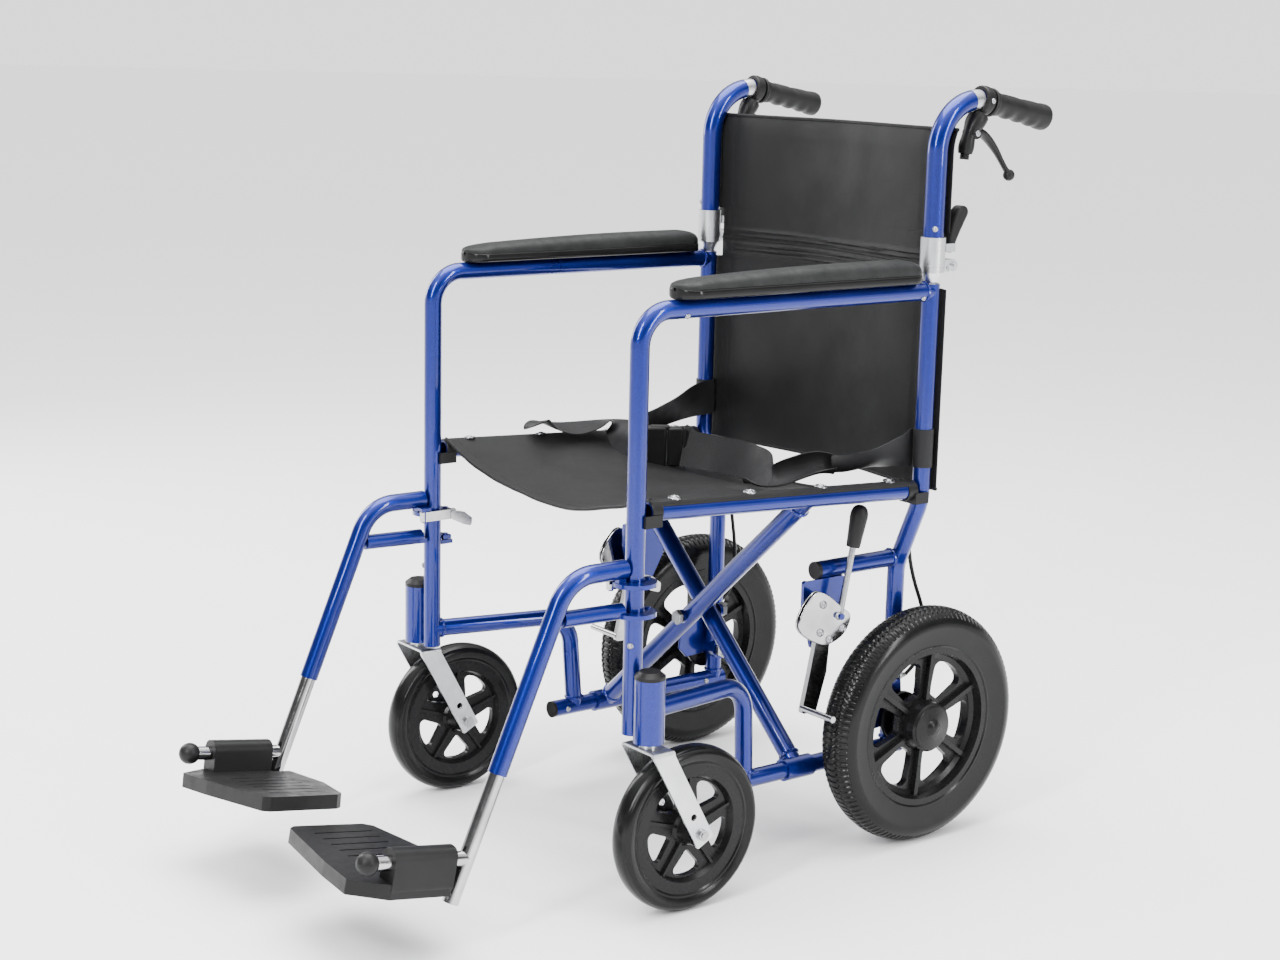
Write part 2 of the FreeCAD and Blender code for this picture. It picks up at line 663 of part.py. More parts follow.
def footplate(label, tilt):
    """Flip-up footplate with its pivot housing and ball end, raised inboard by a small angle."""
    up = X.cross(FOOT_AXIS) * -1
    lift = Rotation(FOOT_AXIS, -tilt)
    across = lift.multVec(X)
    rise = lift.multVec(up)

    def local(x, forward, height):
        return FOOT_PIVOT + across * x + FOOT_AXIS * forward + rise * height

    far = -size("plate_length")
    depth = size("plate_depth")
    base = -38.0
    corners = [(far + 2, 24), (far + 10, 14), (-103, -3), (-19, -3), (-19, 21), (12, 21), (12, 100)]
    corners += [(-14, 141), (-70, 137), (far + 6, depth), (far, depth - 8)]
    deck = [local(x, forward, base) for x, forward in corners]
    plate = prism(deck, "Sizes.plate_thickness", rise, 3.0)
    shell_corners = ((-14, base + 1), (13, base + 1), (13, 16), (-15, 16))
    shell_outline = [local(x, 21, height) for x, height in shell_corners]
    shell = prism(shell_outline, 79.0, FOOT_AXIS, 12.0)
    grooves = []
    top = base + size("plate_thickness") - 1.2
    for i in range(6):
        x = far + 26 + 19.0 * i
        slot = [local(x, 26, top), local(x + 2.6, 26, top)]
        slot += [local(x + 2.6, depth - 20, top), local(x, depth - 20, top)]
        grooves.append(prism(slot, 3.0, rise))
    bore = rod(8.55, 140.0, FOOT_PIVOT - FOOT_AXIS * 5, FOOT_AXIS)
    knob = cut(ball(13.0, local(0, 127, 0)), rod(20.0, 20.0, local(0, 98.3, 0), FOOT_AXIS))
    return keep(label, fuse(cut(fuse(plate, shell), bore, *grooves), knob))


# ------------------------------------------------------------------ parking brake
PARK_PIVOT = at(205, 325, 305)
SHOE_PIVOT = at(194, 310, 277)


def park_base():
    """Bracket under the brake stub with its two pivot pins."""
    side_view = ((284, 349), (350, 349), (352, 302), (330, 262), (300, 262), (284, 318))
    outline = [at(LOW + 2, y, z) for y, z in side_view]
    plate = prism(outline, 5.0, X, 3.0)
    stub = rod(TUBE + 0.02, 160.0, at(LOW, 290, 359), Y)
    lever_pin = rod(4.0, 32.0, at(LOW + 2, 325, 305), X)
    shoe_pin = rod(4.0, 17.3, at(LOW + 2, 310, 277), X)
    keep("park_base_left", fuse(cut(plate, stub), lever_pin, shoe_pin))


def park_lever():
    """Chrome linkage plate, rod and grip."""
    side_view = ((288, 340), (332, 314), (345, 300), (331, 278), (298, 272), (260, 300))
    outline = [at(200, y, z) for y, z in side_view]
    plate = prism(outline, 8.0, X, 3.0)
    stem_start = at(205, 329, 306)
    stem_axis = at(205, 346, 389) - stem_start
    stem = rod(4.0, 90.0, stem_start, stem_axis)
    grip_start = at(205, 345.3, 388)
    grip = cone(8.5, 11.0, 44.0, grip_start, stem_axis)
    tip = ball(11.0, grip_start + stem_axis * (42.0 / stem_axis.Length))
    hole = rod(4.05, 30.0, PARK_PIVOT - X * 15, X)
    keep("park_lever_left", cut(fuse(plate, stem, grip, tip), hole))


def park_shoe():
    """Brake arm and the shoe rod that presses on the tyre."""
    side_view = ((301, 286), (322, 284), (318, 232), (303, 183), (279, 183), (290, 232))
    outline = [at(190, y, z) for y, z in side_view]
    arm = prism(outline, 7.0, X, 4.0)
    shoe = rod(4.0, 58.0, at(192, 283.5, 189.5), X)
    keep("park_shoe_left", cut(fuse(arm, shoe), rod(4.05, 30.0, SHOE_PIVOT - X * 15, X)))


# ------------------------------------------------------------------ scissor brace and cloth
PIVOT_HEIGHT = RAIL + (seat_rail_height(272) - RAIL) * LOW / (LOW + SIDE)


def cross_brace(label, side, line, lone_bolt):
    """Cross tube from one bottom rail up to the seat rail of the other side, and that seat rail."""
    foot = at(side * LOW, line, RAIL)
    head = at(-side * SIDE, line, seat_rail_height(line))
    run = head - foot
    tube = rod("Sizes.brace_tube / 2", run.Length, foot, run)
    half = size("sleeve_length") / 2
    sleeve = rod("Sizes.frame_tube / 2 + Sizes.sleeve_wall", "Sizes.sleeve_length", foot - Y * half, Y)
    start = at(-side * SIDE, size("seat_rail_front"), size("seat_front_height"))
    end = at(-side * SIDE, size("seat_rail_front") + size("seat_rail_length"), size("seat_rear_height"))
    rail = rod(OUTER, (end - start).Length, start, end - start)
    rail_bore = rod(INNER, (end - start).Length + 4, start - Y * 2, end - start)
    sleeve_bore = rod("Sizes.frame_tube / 2 + Sizes.running_fit", 60.0, foot - Y * 30, Y)
    centre = at(0, size("brace_b_line") - BRACE - 5, PIVOT_HEIGHT)
    grip = size("brace_a_line") - size("brace_b_line") + 2 * BRACE + 6
    if lone_bolt:
        shank = rod(5.0, grip + 4, centre, Y)
        bolt = fuse(shank, rod(9.0, 4.0, centre, Y), rod(9.0, 4.0, centre + Y * grip, Y))
        keep(label, fuse(cut(fuse(tube, sleeve, rail), rail_bore, sleeve_bore), bolt))
    else:
        bolt_hole = rod(5.05, 90.0, centre - Y * 10, Y)
        keep(label, cut(fuse(tube, sleeve, rail), rail_bore, sleeve_bore, bolt_hole))


def seat_sling():
    """Seat cloth that hangs between the two seat rails."""
    start = size("seat_rail_front") + 1
    length = size("seat_rail_length") - 8
    crown = seat_rail_height(start)
    wrap = TUBE + 0.9
    line = []
    for turn in (-42, -21, 0):
        angle = math.radians(turn)
        line.append((-SIDE + wrap * math.sin(angle), crown + wrap * math.cos(angle)))
    leave = math.radians(20)
    half = SIDE - wrap * math.sin(leave)
    steps = 12
    for i in range(steps + 1):
        share = -1 + 2.0 * i / steps
        drop = size("seat_sag") * (1 - share * share)
        line.append((share * half, crown + wrap * math.cos(leave) - drop))
    line += [(-x, z) for x, z in line[2::-1]]
    lower = [at(x, start, z) for x, z in line]
    upper = [point + Z * size("cloth") for point in lower]
    slope = math.atan((size("seat_front_height") - size("seat_rear_height")) / size("seat_rail_length"))
    direction = Vector(0, math.cos(slope), -math.sin(slope))
    keep("seat_sling", prism(lower + upper[::-1], length, direction))


def back_slings():
    """Back cloth behind the posts, in two lengths that part at the hinge."""
    back = REAR + BACK + 1.3
    wide = SIDE + 14
    narrow = SIDE - 21
    hinge = size("hinge_height")
    upper = [(-narrow, hinge + 2), (narrow, hinge + 2), (narrow, 808), (wide, 808), (wide, 868)]
    upper += [(SIDE - 14.5, 868), (SIDE - 14.5, 901)]
    upper += [(-x, z) for x, z in upper[:1:-1]]
    keep("back_sling_upper", prism([Vector(x, back, z) for x, z in upper], "Sizes.cloth", Y))
    lower = [(-wide, 450), (wide, 450), (wide, 712), (narrow, 712), (narrow, hinge - 2)]
    lower += [(-x, z) for x, z in lower[:1:-1]]
    keep("back_sling_lower", prism([Vector(x, back - 1.5, z) for x, z in lower], "Sizes.cloth", Y))


def lap_belt():
    """Lap belt lying across the seat, with its buckle."""
    stations = [
        ((200, 430, 499), 0.3), ((206, 362, 494), 0.7), ((192, 292, 493), 1.0), ((148, 246, 488), 1.0),
        ((75, 236, 478), 1.0), ((0, 236, 472), 1.0), ((-62, 264, 476), 1.0), ((-122, 332, 484), 0.9),
        ((-172, 396, 493), 0.6), ((-202, 430, 503), 0.3),
    ]
    wires = []
    for i, (place, flatness) in enumerate(stations):
        before = Vector(*stations[max(i - 1, 0)][0])
        after = Vector(*stations[min(i + 1, len(stations) - 1)][0])
        course = (after - before).normalize()
        side = Vector(course.y, -course.x, 0).normalize()
        rise = Vector(0, 0, 1)
        span = side * (24 * flatness) + rise * (24 * (1 - flatness))
        thick = course.cross(span).normalize() * 1.2
        middle = at(*place)
        corners = [middle - span - thick, middle + span - thick]
        corners += [middle + span + thick, middle - span + thick]
        wires.append(Part.makePolygon(corners + [corners[0]]))
    belt = fresh("Part::Feature", "belt")
    belt.Shape = Part.makeLoft(wires, True, True)
    keep("lap_belt", belt)


CABLE_POINTS = [
    (-24.0, 39.0, 880.0), (-24.0, 26.0, 845.0), (-24.0, 20.0, 800.0), (-24.0, 20.0, 752.0),
    (-24.0, 21.0, 700.0), (-23.0, 20.0, 650.0), (-22.0, 20.0, 600.0), (-22.0, 20.0, 550.0),
    (-22.0, 19.5, 500.0), (-26.0, 19.5, 455.0), (-36.0, 20.0, 410.0), (-38.0, 21.0, 365.0),
    (-35.0, 30.0, 325.0), (-28.0, 41.0, 290.0), (-24.0, 45.0, 255.0), (-23.0, 38.0, 222.0),
    (-22.0, 11.0, 205.6),
]


def cable_route():
    return [Vector(SIDE + x, REAR + y, z) for x, y, z in CABLE_POINTS]


def brake_cable():
    """Brake cable from the hand lever down to the hub brake."""
    points = cable_route()
    radii = [0.0]
    for before, here, after in zip(points, points[1:], points[2:]):
        run = min(here.distanceToPoint(before), here.distanceToPoint(after))
        turn = (here - before).getAngle(after - here)
        radii.append(0.45 * run / math.tan(turn / 2))
    path = fresh("Part::Feature", "path")
    path.Shape = rounded_path(points, radii + [0.0])
    tube = sweep(path, "Sizes.cable_radius", points[0], points[1] - points[0])
    doc.recompute()
    expected = math.pi * size("cable_radius") ** 2 * path.Shape.Length
    print("cable: length %.1f mm, tightest bend %.0f mm, volume ratio %.4f"
          % (path.Shape.Length, min(radii[1:]), tube.Shape.Volume / expected))
    keep("brake_cable_left", tube)


# ------------------------------------------------------------------ build
arm_tube()
rear_post()
side_rail()
frame_plugs()
arm_pad()
caster_fork()
caster_wheel()
caster_tyre()
caster_axle()
rear_rim()
rear_tyre()
hub_brake()
back_post()
back_clamp()
back_hinge()
back_lever()
push_grip()
brake_mount()
brake_lever()
legrest_hanger()
legrest_latch()
foot_tube()
footplate("footplate_left", 1.5)
right_footplate = footplate("footplate_right", 6.5)
park_base()
park_lever()
park_shoe()
brake_cable()
cross_brace("cross_brace_left", 1, size("brace_a_line"), False)
cross_brace("cross_brace_right", -1, size("brace_b_line"), True)
seat_sling()
back_slings()
lap_belt()

left_nodes.remove("cross_brace_left")
left_nodes.remove("footplate_left")
pairs = [(nodes[label], label.replace("_left", "_right")) for label in left_nodes]
right_footplate.Label = "footplate_blank"
pairs.append((right_footplate, "footplate_right"))
doc.recompute()
for source, label in pairs:
    mirror = fresh("Part::Mirroring", "mirror")
    mirror.Source = source
    mirror.Normal = X
    mirror.Base = Vector(0, 0, 0)
    keep(label, mirror)
doc.recompute()

for thing in doc.Objects:
    if "Invalid" in thing.State or "Error" in thing.State:
        raise RuntimeError("%s (%s) failed: %s" % (thing.Name, thing.Label, thing.State))
for label, thing in nodes.items():
    shape = thing.Shape
    if shape.isNull() or not shape.isValid() or shape.Volume <= 0:
        raise RuntimeError("bad shape: " + label)
    shape.exportStep("parts/%s.step" % label)
print("%d nodes written" % len(nodes))
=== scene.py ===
"""Looks of the folding transport wheelchair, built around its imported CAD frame.

Metres, +Z up. The occupant faces -Y and the occupant's left is +X, as in the CAD model.
"""
import json
import math
import bmesh
import bpy
from mathutils import Matrix, Vector, noise


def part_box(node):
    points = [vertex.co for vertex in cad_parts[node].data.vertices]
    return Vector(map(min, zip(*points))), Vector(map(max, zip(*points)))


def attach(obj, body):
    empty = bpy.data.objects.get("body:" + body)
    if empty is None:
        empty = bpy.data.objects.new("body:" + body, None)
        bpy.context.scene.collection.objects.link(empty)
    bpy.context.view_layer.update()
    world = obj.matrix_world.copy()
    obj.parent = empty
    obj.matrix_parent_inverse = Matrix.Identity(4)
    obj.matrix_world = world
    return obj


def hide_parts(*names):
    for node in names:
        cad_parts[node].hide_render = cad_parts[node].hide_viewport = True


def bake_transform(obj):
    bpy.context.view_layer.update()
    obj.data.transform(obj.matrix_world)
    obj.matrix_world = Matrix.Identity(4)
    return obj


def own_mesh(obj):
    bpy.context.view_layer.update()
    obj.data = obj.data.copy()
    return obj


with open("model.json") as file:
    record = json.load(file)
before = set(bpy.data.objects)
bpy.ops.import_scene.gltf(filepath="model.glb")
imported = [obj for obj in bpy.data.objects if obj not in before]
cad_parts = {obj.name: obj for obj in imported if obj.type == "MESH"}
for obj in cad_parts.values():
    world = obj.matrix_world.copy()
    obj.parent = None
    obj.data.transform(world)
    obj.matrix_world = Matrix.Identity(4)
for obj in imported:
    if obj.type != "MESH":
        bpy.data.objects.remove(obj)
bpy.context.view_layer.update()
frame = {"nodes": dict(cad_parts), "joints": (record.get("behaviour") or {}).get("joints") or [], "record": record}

NODES = frame["nodes"]
JOINTS = {joint["name"]: joint for joint in frame["joints"]}
SIDES = {"left": 1.0, "right": -1.0}
X, Y, Z = Vector((1, 0, 0)), Vector((0, 1, 0)), Vector((0, 0, 1))


# ---------- places read from the frame
def pin(name):
    """The point that a joint turns about."""
    return Vector(JOINTS[name]["pos_m"])


def at(x, behind, z):
    """A point given by its setback from the front uprights."""
    return Vector((x, FRONT + behind, z))


def mirrored(point, side):
    return Vector((point.x * side, point.y, point.z))


def rail_height(behind):
    """Height of the axis of the seat rails."""
    return RAIL_FRONT.z - (behind - 0.015) * RAIL_SLOPE


def behind_post(side, points, shift=0.0):
    """Points given by (setback behind the rear post, height)."""
    return [Vector((side * SIDE + shift, REAR + y, z)) for y, z in points]


SWIVEL = pin("caster_swivel_left")
WHEEL = pin("wheel_roll_left")
CASTER = pin("caster_roll_left")
BACK_PIN = pin("back_fold_left")
PIVOT = pin("brace_pivot")
FRONT = SWIVEL.y                      # the front uprights
REAR = WHEEL.y                        # the rear posts and axle
SIDE = BACK_PIN.x                     # middle plane of one side of the frame
TUBE = 0.0111                         # radius of the frame tubes
POST = 0.0127                         # radius of the back posts
BEND = 0.063                          # bend radius of the back posts
BEND_START = 0.8698                   # height at which they start to bend
RAIL_FRONT = at(SIDE, 0.015, 0.474)   # front end of the left seat rail
RAIL_SLOPE = 20.0 / 415.0             # the seat rails fall by 20 mm over their length
GRIP = frame["record"]["mounts"][0]
GRIP_AXIS = Vector(GRIP["axis"]).normalized()
GRIP_LENGTH = GRIP["dims"]["length_mm"] / 1000
GRIP_START = Vector(GRIP["pos_m"]) - GRIP_AXIS * GRIP_LENGTH / 2
CLOTH = 0.0014                        # thickness of the cloth and the webbing
STRAP = 0.048                         # width of the belt
THREAD_PITCH = 0.0009


# ---------- camera, floor and light
EYE = at(2.101, -1.433, 1.001)
EYE_TURN = (52.66, -11.66, 1.33)      # yaw, pitch and roll in degrees
SEAT_CENTRE = Vector((0, 0, 0.45))    # where the lamps point
FLOOR_REACH = 60.0
# brightness of the world by height of the view direction
SKY = ((0.0, 0.565), (0.06, 0.55), (0.14, 0.06), (0.40, 0.04), (0.60, 0.45), (0.9, 1.0))


def camera():
    data = bpy.data.cameras.new("camera")
    data.sensor_width = 36.0
    data.lens = 60.6
    data.clip_start, data.clip_end = 0.05, 50.0
    eye = bpy.data.objects.new("camera", data)
    bpy.context.scene.collection.objects.link(eye)
    yaw, pitch, roll = (math.radians(turn) for turn in EYE_TURN)
    ahead = Vector((-math.sin(yaw) * math.cos(pitch), math.cos(yaw) * math.cos(pitch), math.sin(pitch)))
    right = ahead.cross(Z).normalized()
    up = right.cross(ahead)
    tilted_right = right * math.cos(roll) + up * math.sin(roll)
    tilted_up = up * math.cos(roll) - right * math.sin(roll)
    turn = Matrix((tilted_right, tilted_up, -ahead)).transposed()
    eye.matrix_world = Matrix.Translation(EYE) @ turn.to_4x4()
    bpy.context.scene.camera = eye


def area_light(name, place, size, power):
    data = bpy.data.lights.new(name, "AREA")
    data.shape = "RECTANGLE"
    data.size, data.size_y = size
    data.energy = power
    lamp = bpy.data.objects.new(name, data)
    bpy.context.scene.collection.objects.link(lamp)
    lamp.location = place
    lamp.rotation_mode = "QUATERNION"
    lamp.rotation_quaternion = (SEAT_CENTRE - Vector(place)).to_track_quat("-Z", "Y")


def studio():
    """Bright from above and dim at eye level, so that tubes show dark bodies between long highlights."""
    world = bpy.data.worlds.new("studio")
    bpy.context.scene.world = world
    world.use_nodes = True
    tree = world.node_tree
    split = tree.nodes.new("ShaderNodeSeparateXYZ")
    tree.links.new(tree.nodes.new("ShaderNodeTexCoord").outputs["Generated"], split.inputs["Vector"])
    ramp = tree.nodes.new("ShaderNodeValToRGB")
    tree.links.new(split.outputs["Z"], ramp.inputs["Fac"])
    stops = ramp.color_ramp.elements
    stops[0].position, stops[1].position = SKY[0][0], SKY[-1][0]
    for height, tone in SKY[1:-1]:
        stops.new(height)
    for stop, (height, tone) in zip(stops, SKY):
        stop.color = (tone, tone, tone, 1)
    tree.links.new(ramp.outputs["Color"], tree.nodes["Background"].inputs["Color"])
    tree.nodes["Background"].inputs["Strength"].default_value = 3.2
    area_light("key", (1.0, -2.6, 2.2), (0.36, 2.0), 105)
    area_light("near_side", (3.0, 1.0, 1.7), (0.36, 2.2), 85)
    area_light("overhead", (-0.3, 0.2, 3.4), (2.6, 2.6), 190)
    area_light("far_side", (-2.6, -0.6, 1.6), (0.8, 1.8), 50)
    mesh = bpy.data.meshes.new("floor")
    corners = [(x * FLOOR_REACH, y * FLOOR_REACH, 0) for x, y in ((-1, -1), (1, -1), (1, 1), (-1, 1))]
    mesh.from_pydata(corners, [], [(0, 1, 2, 3)])
    floor = bpy.data.objects.new("floor", mesh)
    bpy.context.scene.collection.objects.link(floor)
    paper = bpy.data.materials.new("paper")
    paper.use_nodes = True
    shader = paper.node_tree.nodes["Principled BSDF"]
    shader.inputs["Base Color"].default_value = (0.94, 0.94, 0.95, 1)
    shader.inputs["Roughness"].default_value = 0.9
    mesh.materials.append(paper)


# ---------- materials
class Finish:
    """Builds one procedural material: two tones, a roughness range and stacked bumps."""

    def __init__(self, name, **sockets):
        self.material = bpy.data.materials.new(name)
        self.material.use_nodes = True
        self.tree = self.material.node_tree
        self.shader = self.tree.nodes["Principled BSDF"]
        self.place = self.tree.nodes.new("ShaderNodeTexCoord").outputs["Object"]
        self.normal = None
        for socket, value in sockets.items():
            self.shader.inputs[socket.replace("_", " ")].default_value = value

    def node(self, kind, links=(), **values):
        """A shader node with its links, its properties and its socket values."""
        made = self.tree.nodes.new(kind)
        for name, value in values.items():
            if hasattr(made, name):
                setattr(made, name, value)
            else:
                made.inputs[name.replace("_", " ")].default_value = value
        for socket, source in links:
            self.tree.links.new(source, made.inputs[socket])
        return made

    def stretched(self, scale):
        """Coordinates scaled by a different amount along each axis."""
        return self.node("ShaderNodeMapping", [("Vector", self.place)], Scale=scale).outputs["Vector"]

    def cloud(self, scale, detail=3.0, roughness=0.5, stretch=(1, 1, 1)):
        return self.node("ShaderNodeTexNoise", [("Vector", self.stretched(stretch))],
                         Scale=scale, Detail=detail, Roughness=roughness).outputs["Fac"]

    def cells(self, scale):
        return self.node("ShaderNodeTexVoronoi", [("Vector", self.place)], Scale=scale).outputs["Distance"]

    def ribs(self, direction, scale):
        return self.node("ShaderNodeTexWave", [("Vector", self.place)], wave_type="BANDS",
                         bands_direction=direction, Scale=scale, Distortion=0.4, Detail=1.0).outputs["Fac"]

    def combine(self, operation, first, second):
        return self.node("ShaderNodeMath", [(0, first), (1, second)], operation=operation).outputs[0]

    def tones(self, source, dark, light):
        ramp = self.node("ShaderNodeValToRGB", [("Fac", source)])
        ramp.color_ramp.elements[0].position = 0.3
        ramp.color_ramp.elements[1].position = 0.7
        ramp.color_ramp.elements[0].color = (*dark, 1)
        ramp.color_ramp.elements[1].color = (*light, 1)
        self.tree.links.new(ramp.outputs["Color"], self.shader.inputs["Base Color"])

    def roughness(self, source, low, high):
        spread = self.node("ShaderNodeMapRange", [("Value", source)], From_Min=0.3, From_Max=0.7, To_Min=low,
                           To_Max=high)
        self.tree.links.new(spread.outputs["Result"], self.shader.inputs["Roughness"])

    def bump(self, source, height, strength):
        """Stack one more bump on those given before."""
        links = [("Height", source)]
        if self.normal is not None:
            links.append(("Normal", self.normal))
        made = self.node("ShaderNodeBump", links, Strength=strength, Distance=height)
        self.normal = made.outputs["Normal"]
        self.tree.links.new(self.normal, self.shader.inputs["Normal"])


def paint_finish():
    """Metallic blue under a clear coat."""
    finish = Finish("blue_paint", Metallic=0.75, Specular_IOR_Level=0.2, Coat_Weight=0.8,
                    Coat_Roughness=0.03, Coat_IOR=1.42)
    finish.tones(finish.cloud(900, 2), (0.003, 0.008, 0.12), (0.005, 0.018, 0.22))
    finish.roughness(finish.cloud(14, 4), 0.26, 0.38)
    finish.bump(finish.cloud(220, 2), 0.00006, 0.25)
    finish.bump(finish.cloud(30, 3), 0.0003, 0.12)
    return finish.material


def aluminium_finish():
    finish = Finish("satin_aluminium", Metallic=1.0)
    finish.tones(finish.cloud(35, 4), (0.50, 0.51, 0.53), (0.64, 0.65, 0.66))
    grain = finish.cloud(300, 3, 0.6, (6, 6, 0.5))
    finish.roughness(grain, 0.24, 0.40)
    finish.bump(grain, 0.00008, 0.4)
    return finish.material


def chrome_finish():
    finish = Finish("chrome", Metallic=1.0)
    finish.tones(finish.cloud(25, 3), (0.34, 0.34, 0.35), (0.50, 0.50, 0.51))
    finish.roughness(finish.cloud(60, 4, 0.6), 0.07, 0.18)
    finish.bump(finish.cloud(90, 3), 0.0001, 0.15)
    return finish.material


def steel_finish():
    finish = Finish("zinc_steel", Metallic=1.0)
    finish.tones(finish.cloud(120, 4, 0.7), (0.24, 0.25, 0.26), (0.42, 0.42, 0.44))
    finish.roughness(finish.cloud(200, 3), 0.25, 0.42)
    finish.bump(finish.cloud(400, 3), 0.00008, 0.4)
    return finish.material


def plastic_finish(name, tone, rough, grain_scale, grain_height):
    """Moulded black plastic with a spark-eroded grain."""
    finish = Finish(name, Specular_IOR_Level=0.16)
    finish.tones(finish.cloud(18, 4), (tone * 0.75,) * 3, (tone, tone, tone * 1.05))
    finish.roughness(finish.cloud(60, 4), *rough)
    finish.bump(finish.cloud(grain_scale, 3, 0.65), grain_height, 0.5)
    finish.bump(finish.cloud(12, 2), 0.0006, 0.1)
    return finish.material


def rubber_finish(name, tone, rough, height):
    """Black rubber with a fine skin of the given bump height."""
    finish = Finish(name, Specular_IOR_Level=0.16)
    finish.tones(finish.cloud(26, 5, 0.6), (tone * 0.7, tone * 0.72, tone * 0.72), (tone,) * 3)
    finish.roughness(finish.cloud(40, 4), *rough)
    finish.bump(finish.cloud(700, 3, 0.7), height, 0.45)
    finish.bump(finish.cloud(25, 3), 0.0005, 0.12)
    return finish.material


def foam_finish():
    """Self-skinned foam with a pebbled grain."""
    finish = Finish("arm_foam", Specular_IOR_Level=0.2)
    finish.tones(finish.cloud(40, 5, 0.6), (0.006, 0.007, 0.007), (0.014, 0.015, 0.015))
    finish.roughness(finish.cloud(90, 3), 0.48, 0.68)
    finish.bump(finish.cells(620), 0.0004, 0.6)
    finish.bump(finish.cloud(60, 4), 0.0006, 0.25)
    return finish.material


def cloth_finish(name, directions, tone, rough):
    """Woven nylon: two crossed thread directions, a slight sheen and soft creases."""
    finish = Finish(name, Specular_IOR_Level=0.13, Sheen_Weight=0.02, Sheen_Roughness=0.4)
    scale = 0.05 / THREAD_PITCH * math.tau
    weave = finish.combine("MULTIPLY", finish.ribs(directions[0], scale), finish.ribs(directions[1], scale))
    finish.tones(finish.combine("ADD", weave, finish.cloud(14, 4)), (tone * 0.55,) * 3,
                 (tone, tone, tone * 1.04))
    finish.roughness(finish.cloud(11, 4), *rough)
    finish.bump(weave, 0.00025, 0.5)
    finish.bump(finish.cloud(16, 4, 0.55), 0.006, 0.16)
    return finish.material


def webbing_finish():
    finish = Finish("webbing", Specular_IOR_Level=0.15, Sheen_Weight=0.02, Sheen_Roughness=0.4)
    ribs = finish.cells(900)
    finish.tones(finish.combine("ADD", ribs, finish.cloud(30, 4)), (0.004, 0.004, 0.004),
                 (0.012, 0.012, 0.013))
    finish.roughness(finish.cloud(50, 3), 0.38, 0.55)
    finish.bump(ribs, 0.0004, 0.6)
    return finish.material


MATERIALS = {
    "blue_paint": paint_finish(),
    "satin_aluminium": aluminium_finish(),
    "chrome": chrome_finish(),
    "zinc_steel": steel_finish(),
    "black_plastic": plastic_finish("black_plastic", 0.011, (0.30, 0.46), 520, 0.0002),
    "wheel_plastic": plastic_finish("wheel_plastic", 0.008, (0.20, 0.34), 300, 0.00012),
    "pad_base": plastic_finish("pad_base", 0.009, (0.12, 0.24), 160, 0.0001),
    "arm_foam": foam_finish(),
    "grip_rubber": rubber_finish("grip_rubber", 0.012, (0.36, 0.50), 0.0003),
    "tyre_rubber": rubber_finish("tyre_rubber", 0.007, (0.15, 0.26), 0.00008),
    "black_nylon": cloth_finish("black_nylon", "YX", 0.012, (0.36, 0.52)),
    "back_nylon": cloth_finish("back_nylon", "ZX", 0.009, (0.38, 0.54)),
    "webbing": webbing_finish(),
    "cable_cover": plastic_finish("cable_cover", 0.007, (0.24, 0.36), 300, 0.0001),
}


def dress_nodes():
    """Give every CAD node that stays in view the finish of its slot, with crisp creases."""
    for part in frame["record"]["subparts"]:
        node = NODES[part["node"]]
        node.data.materials.clear()
        node.data.materials.append(MATERIALS[part["material_slot"]])
        node.data.shade_smooth()
        node.data.set_sharp_from_angle(angle=math.radians(32))


# ---------- making pieces
def piece(name, vertices, faces, material, body=None, smooth=35.0, bevel=0.0):
    """A mesh object with its finish, riding on a body if one is given."""
    mesh = bpy.data.meshes.new(name)
    mesh.from_pydata([tuple(v) for v in vertices], [], faces)
    mesh.validate()
    thing = bpy.data.objects.new(name, mesh)
    bpy.context.scene.collection.objects.link(thing)
    mesh.materials.append(MATERIALS[material])
    turn_outward(mesh)
    mesh.shade_smooth()
    mesh.set_sharp_from_angle(angle=math.radians(smooth))
    if bevel:
        cutter = thing.modifiers.new("bevel", "BEVEL")
        cutter.width, cutter.segments = bevel, 2
        cutter.limit_method, cutter.angle_limit = "ANGLE", math.radians(40)
    if body:
        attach(thing, body)
    return thing


def turn_outward(mesh):
    """Point all the faces away from the inside."""
    work = bmesh.new()
    work.from_mesh(mesh)
    bmesh.ops.recalc_face_normals(work, faces=work.faces)
    work.to_mesh(mesh)
    work.free()


def across(axis):
    """Two directions square to an axis."""
    helper = X if abs(axis.x) < 0.9 else Y
    first = axis.cross(helper).normalized()
    return first, axis.cross(first).normalized()


def quads(rows, count, round_rows=False, round_count=True, caps=False):
    """Faces over rows of count points each, joined up round either way, with or without end caps."""
    faces = []
    for i in range(rows if round_rows else rows - 1):
        for k in range(count if round_count else count - 1):
            here, there, after = i * count, ((i + 1) % rows) * count, (k + 1) % count
            faces.append((here + k, here + after, there + after, there + k))
    if caps:
        faces.append(tuple(range(count))[::-1])
        faces.append(tuple((rows - 1) * count + k for k in range(count)))
    return faces


def lathe(name, profile, centre, axis, steps, material, body, swell=None, closed=True):
    """Turn (along, radius) points about an axis. swell(angle, along, radius) adds to the radius.
    A closed profile is a ring, such as a tyre; an open one ends on the axis."""
    first, second = across(axis)
    vertices = []
    for i in range(steps):
        angle = math.tau * i / steps
        out = first * math.cos(angle) + second * math.sin(angle)
        for along, radius in profile:
            radius += swell(angle, along, radius) if swell else 0.0
            vertices.append(centre + axis * along + out * radius)
    count = len(profile)
    faces = quads(steps, count, True, closed)
    if not closed:
        faces.append(tuple(i * count for i in range(steps)))
        faces.append(tuple(i * count + count - 1 for i in range(steps)))
    return piece(name, vertices, faces, material, body)


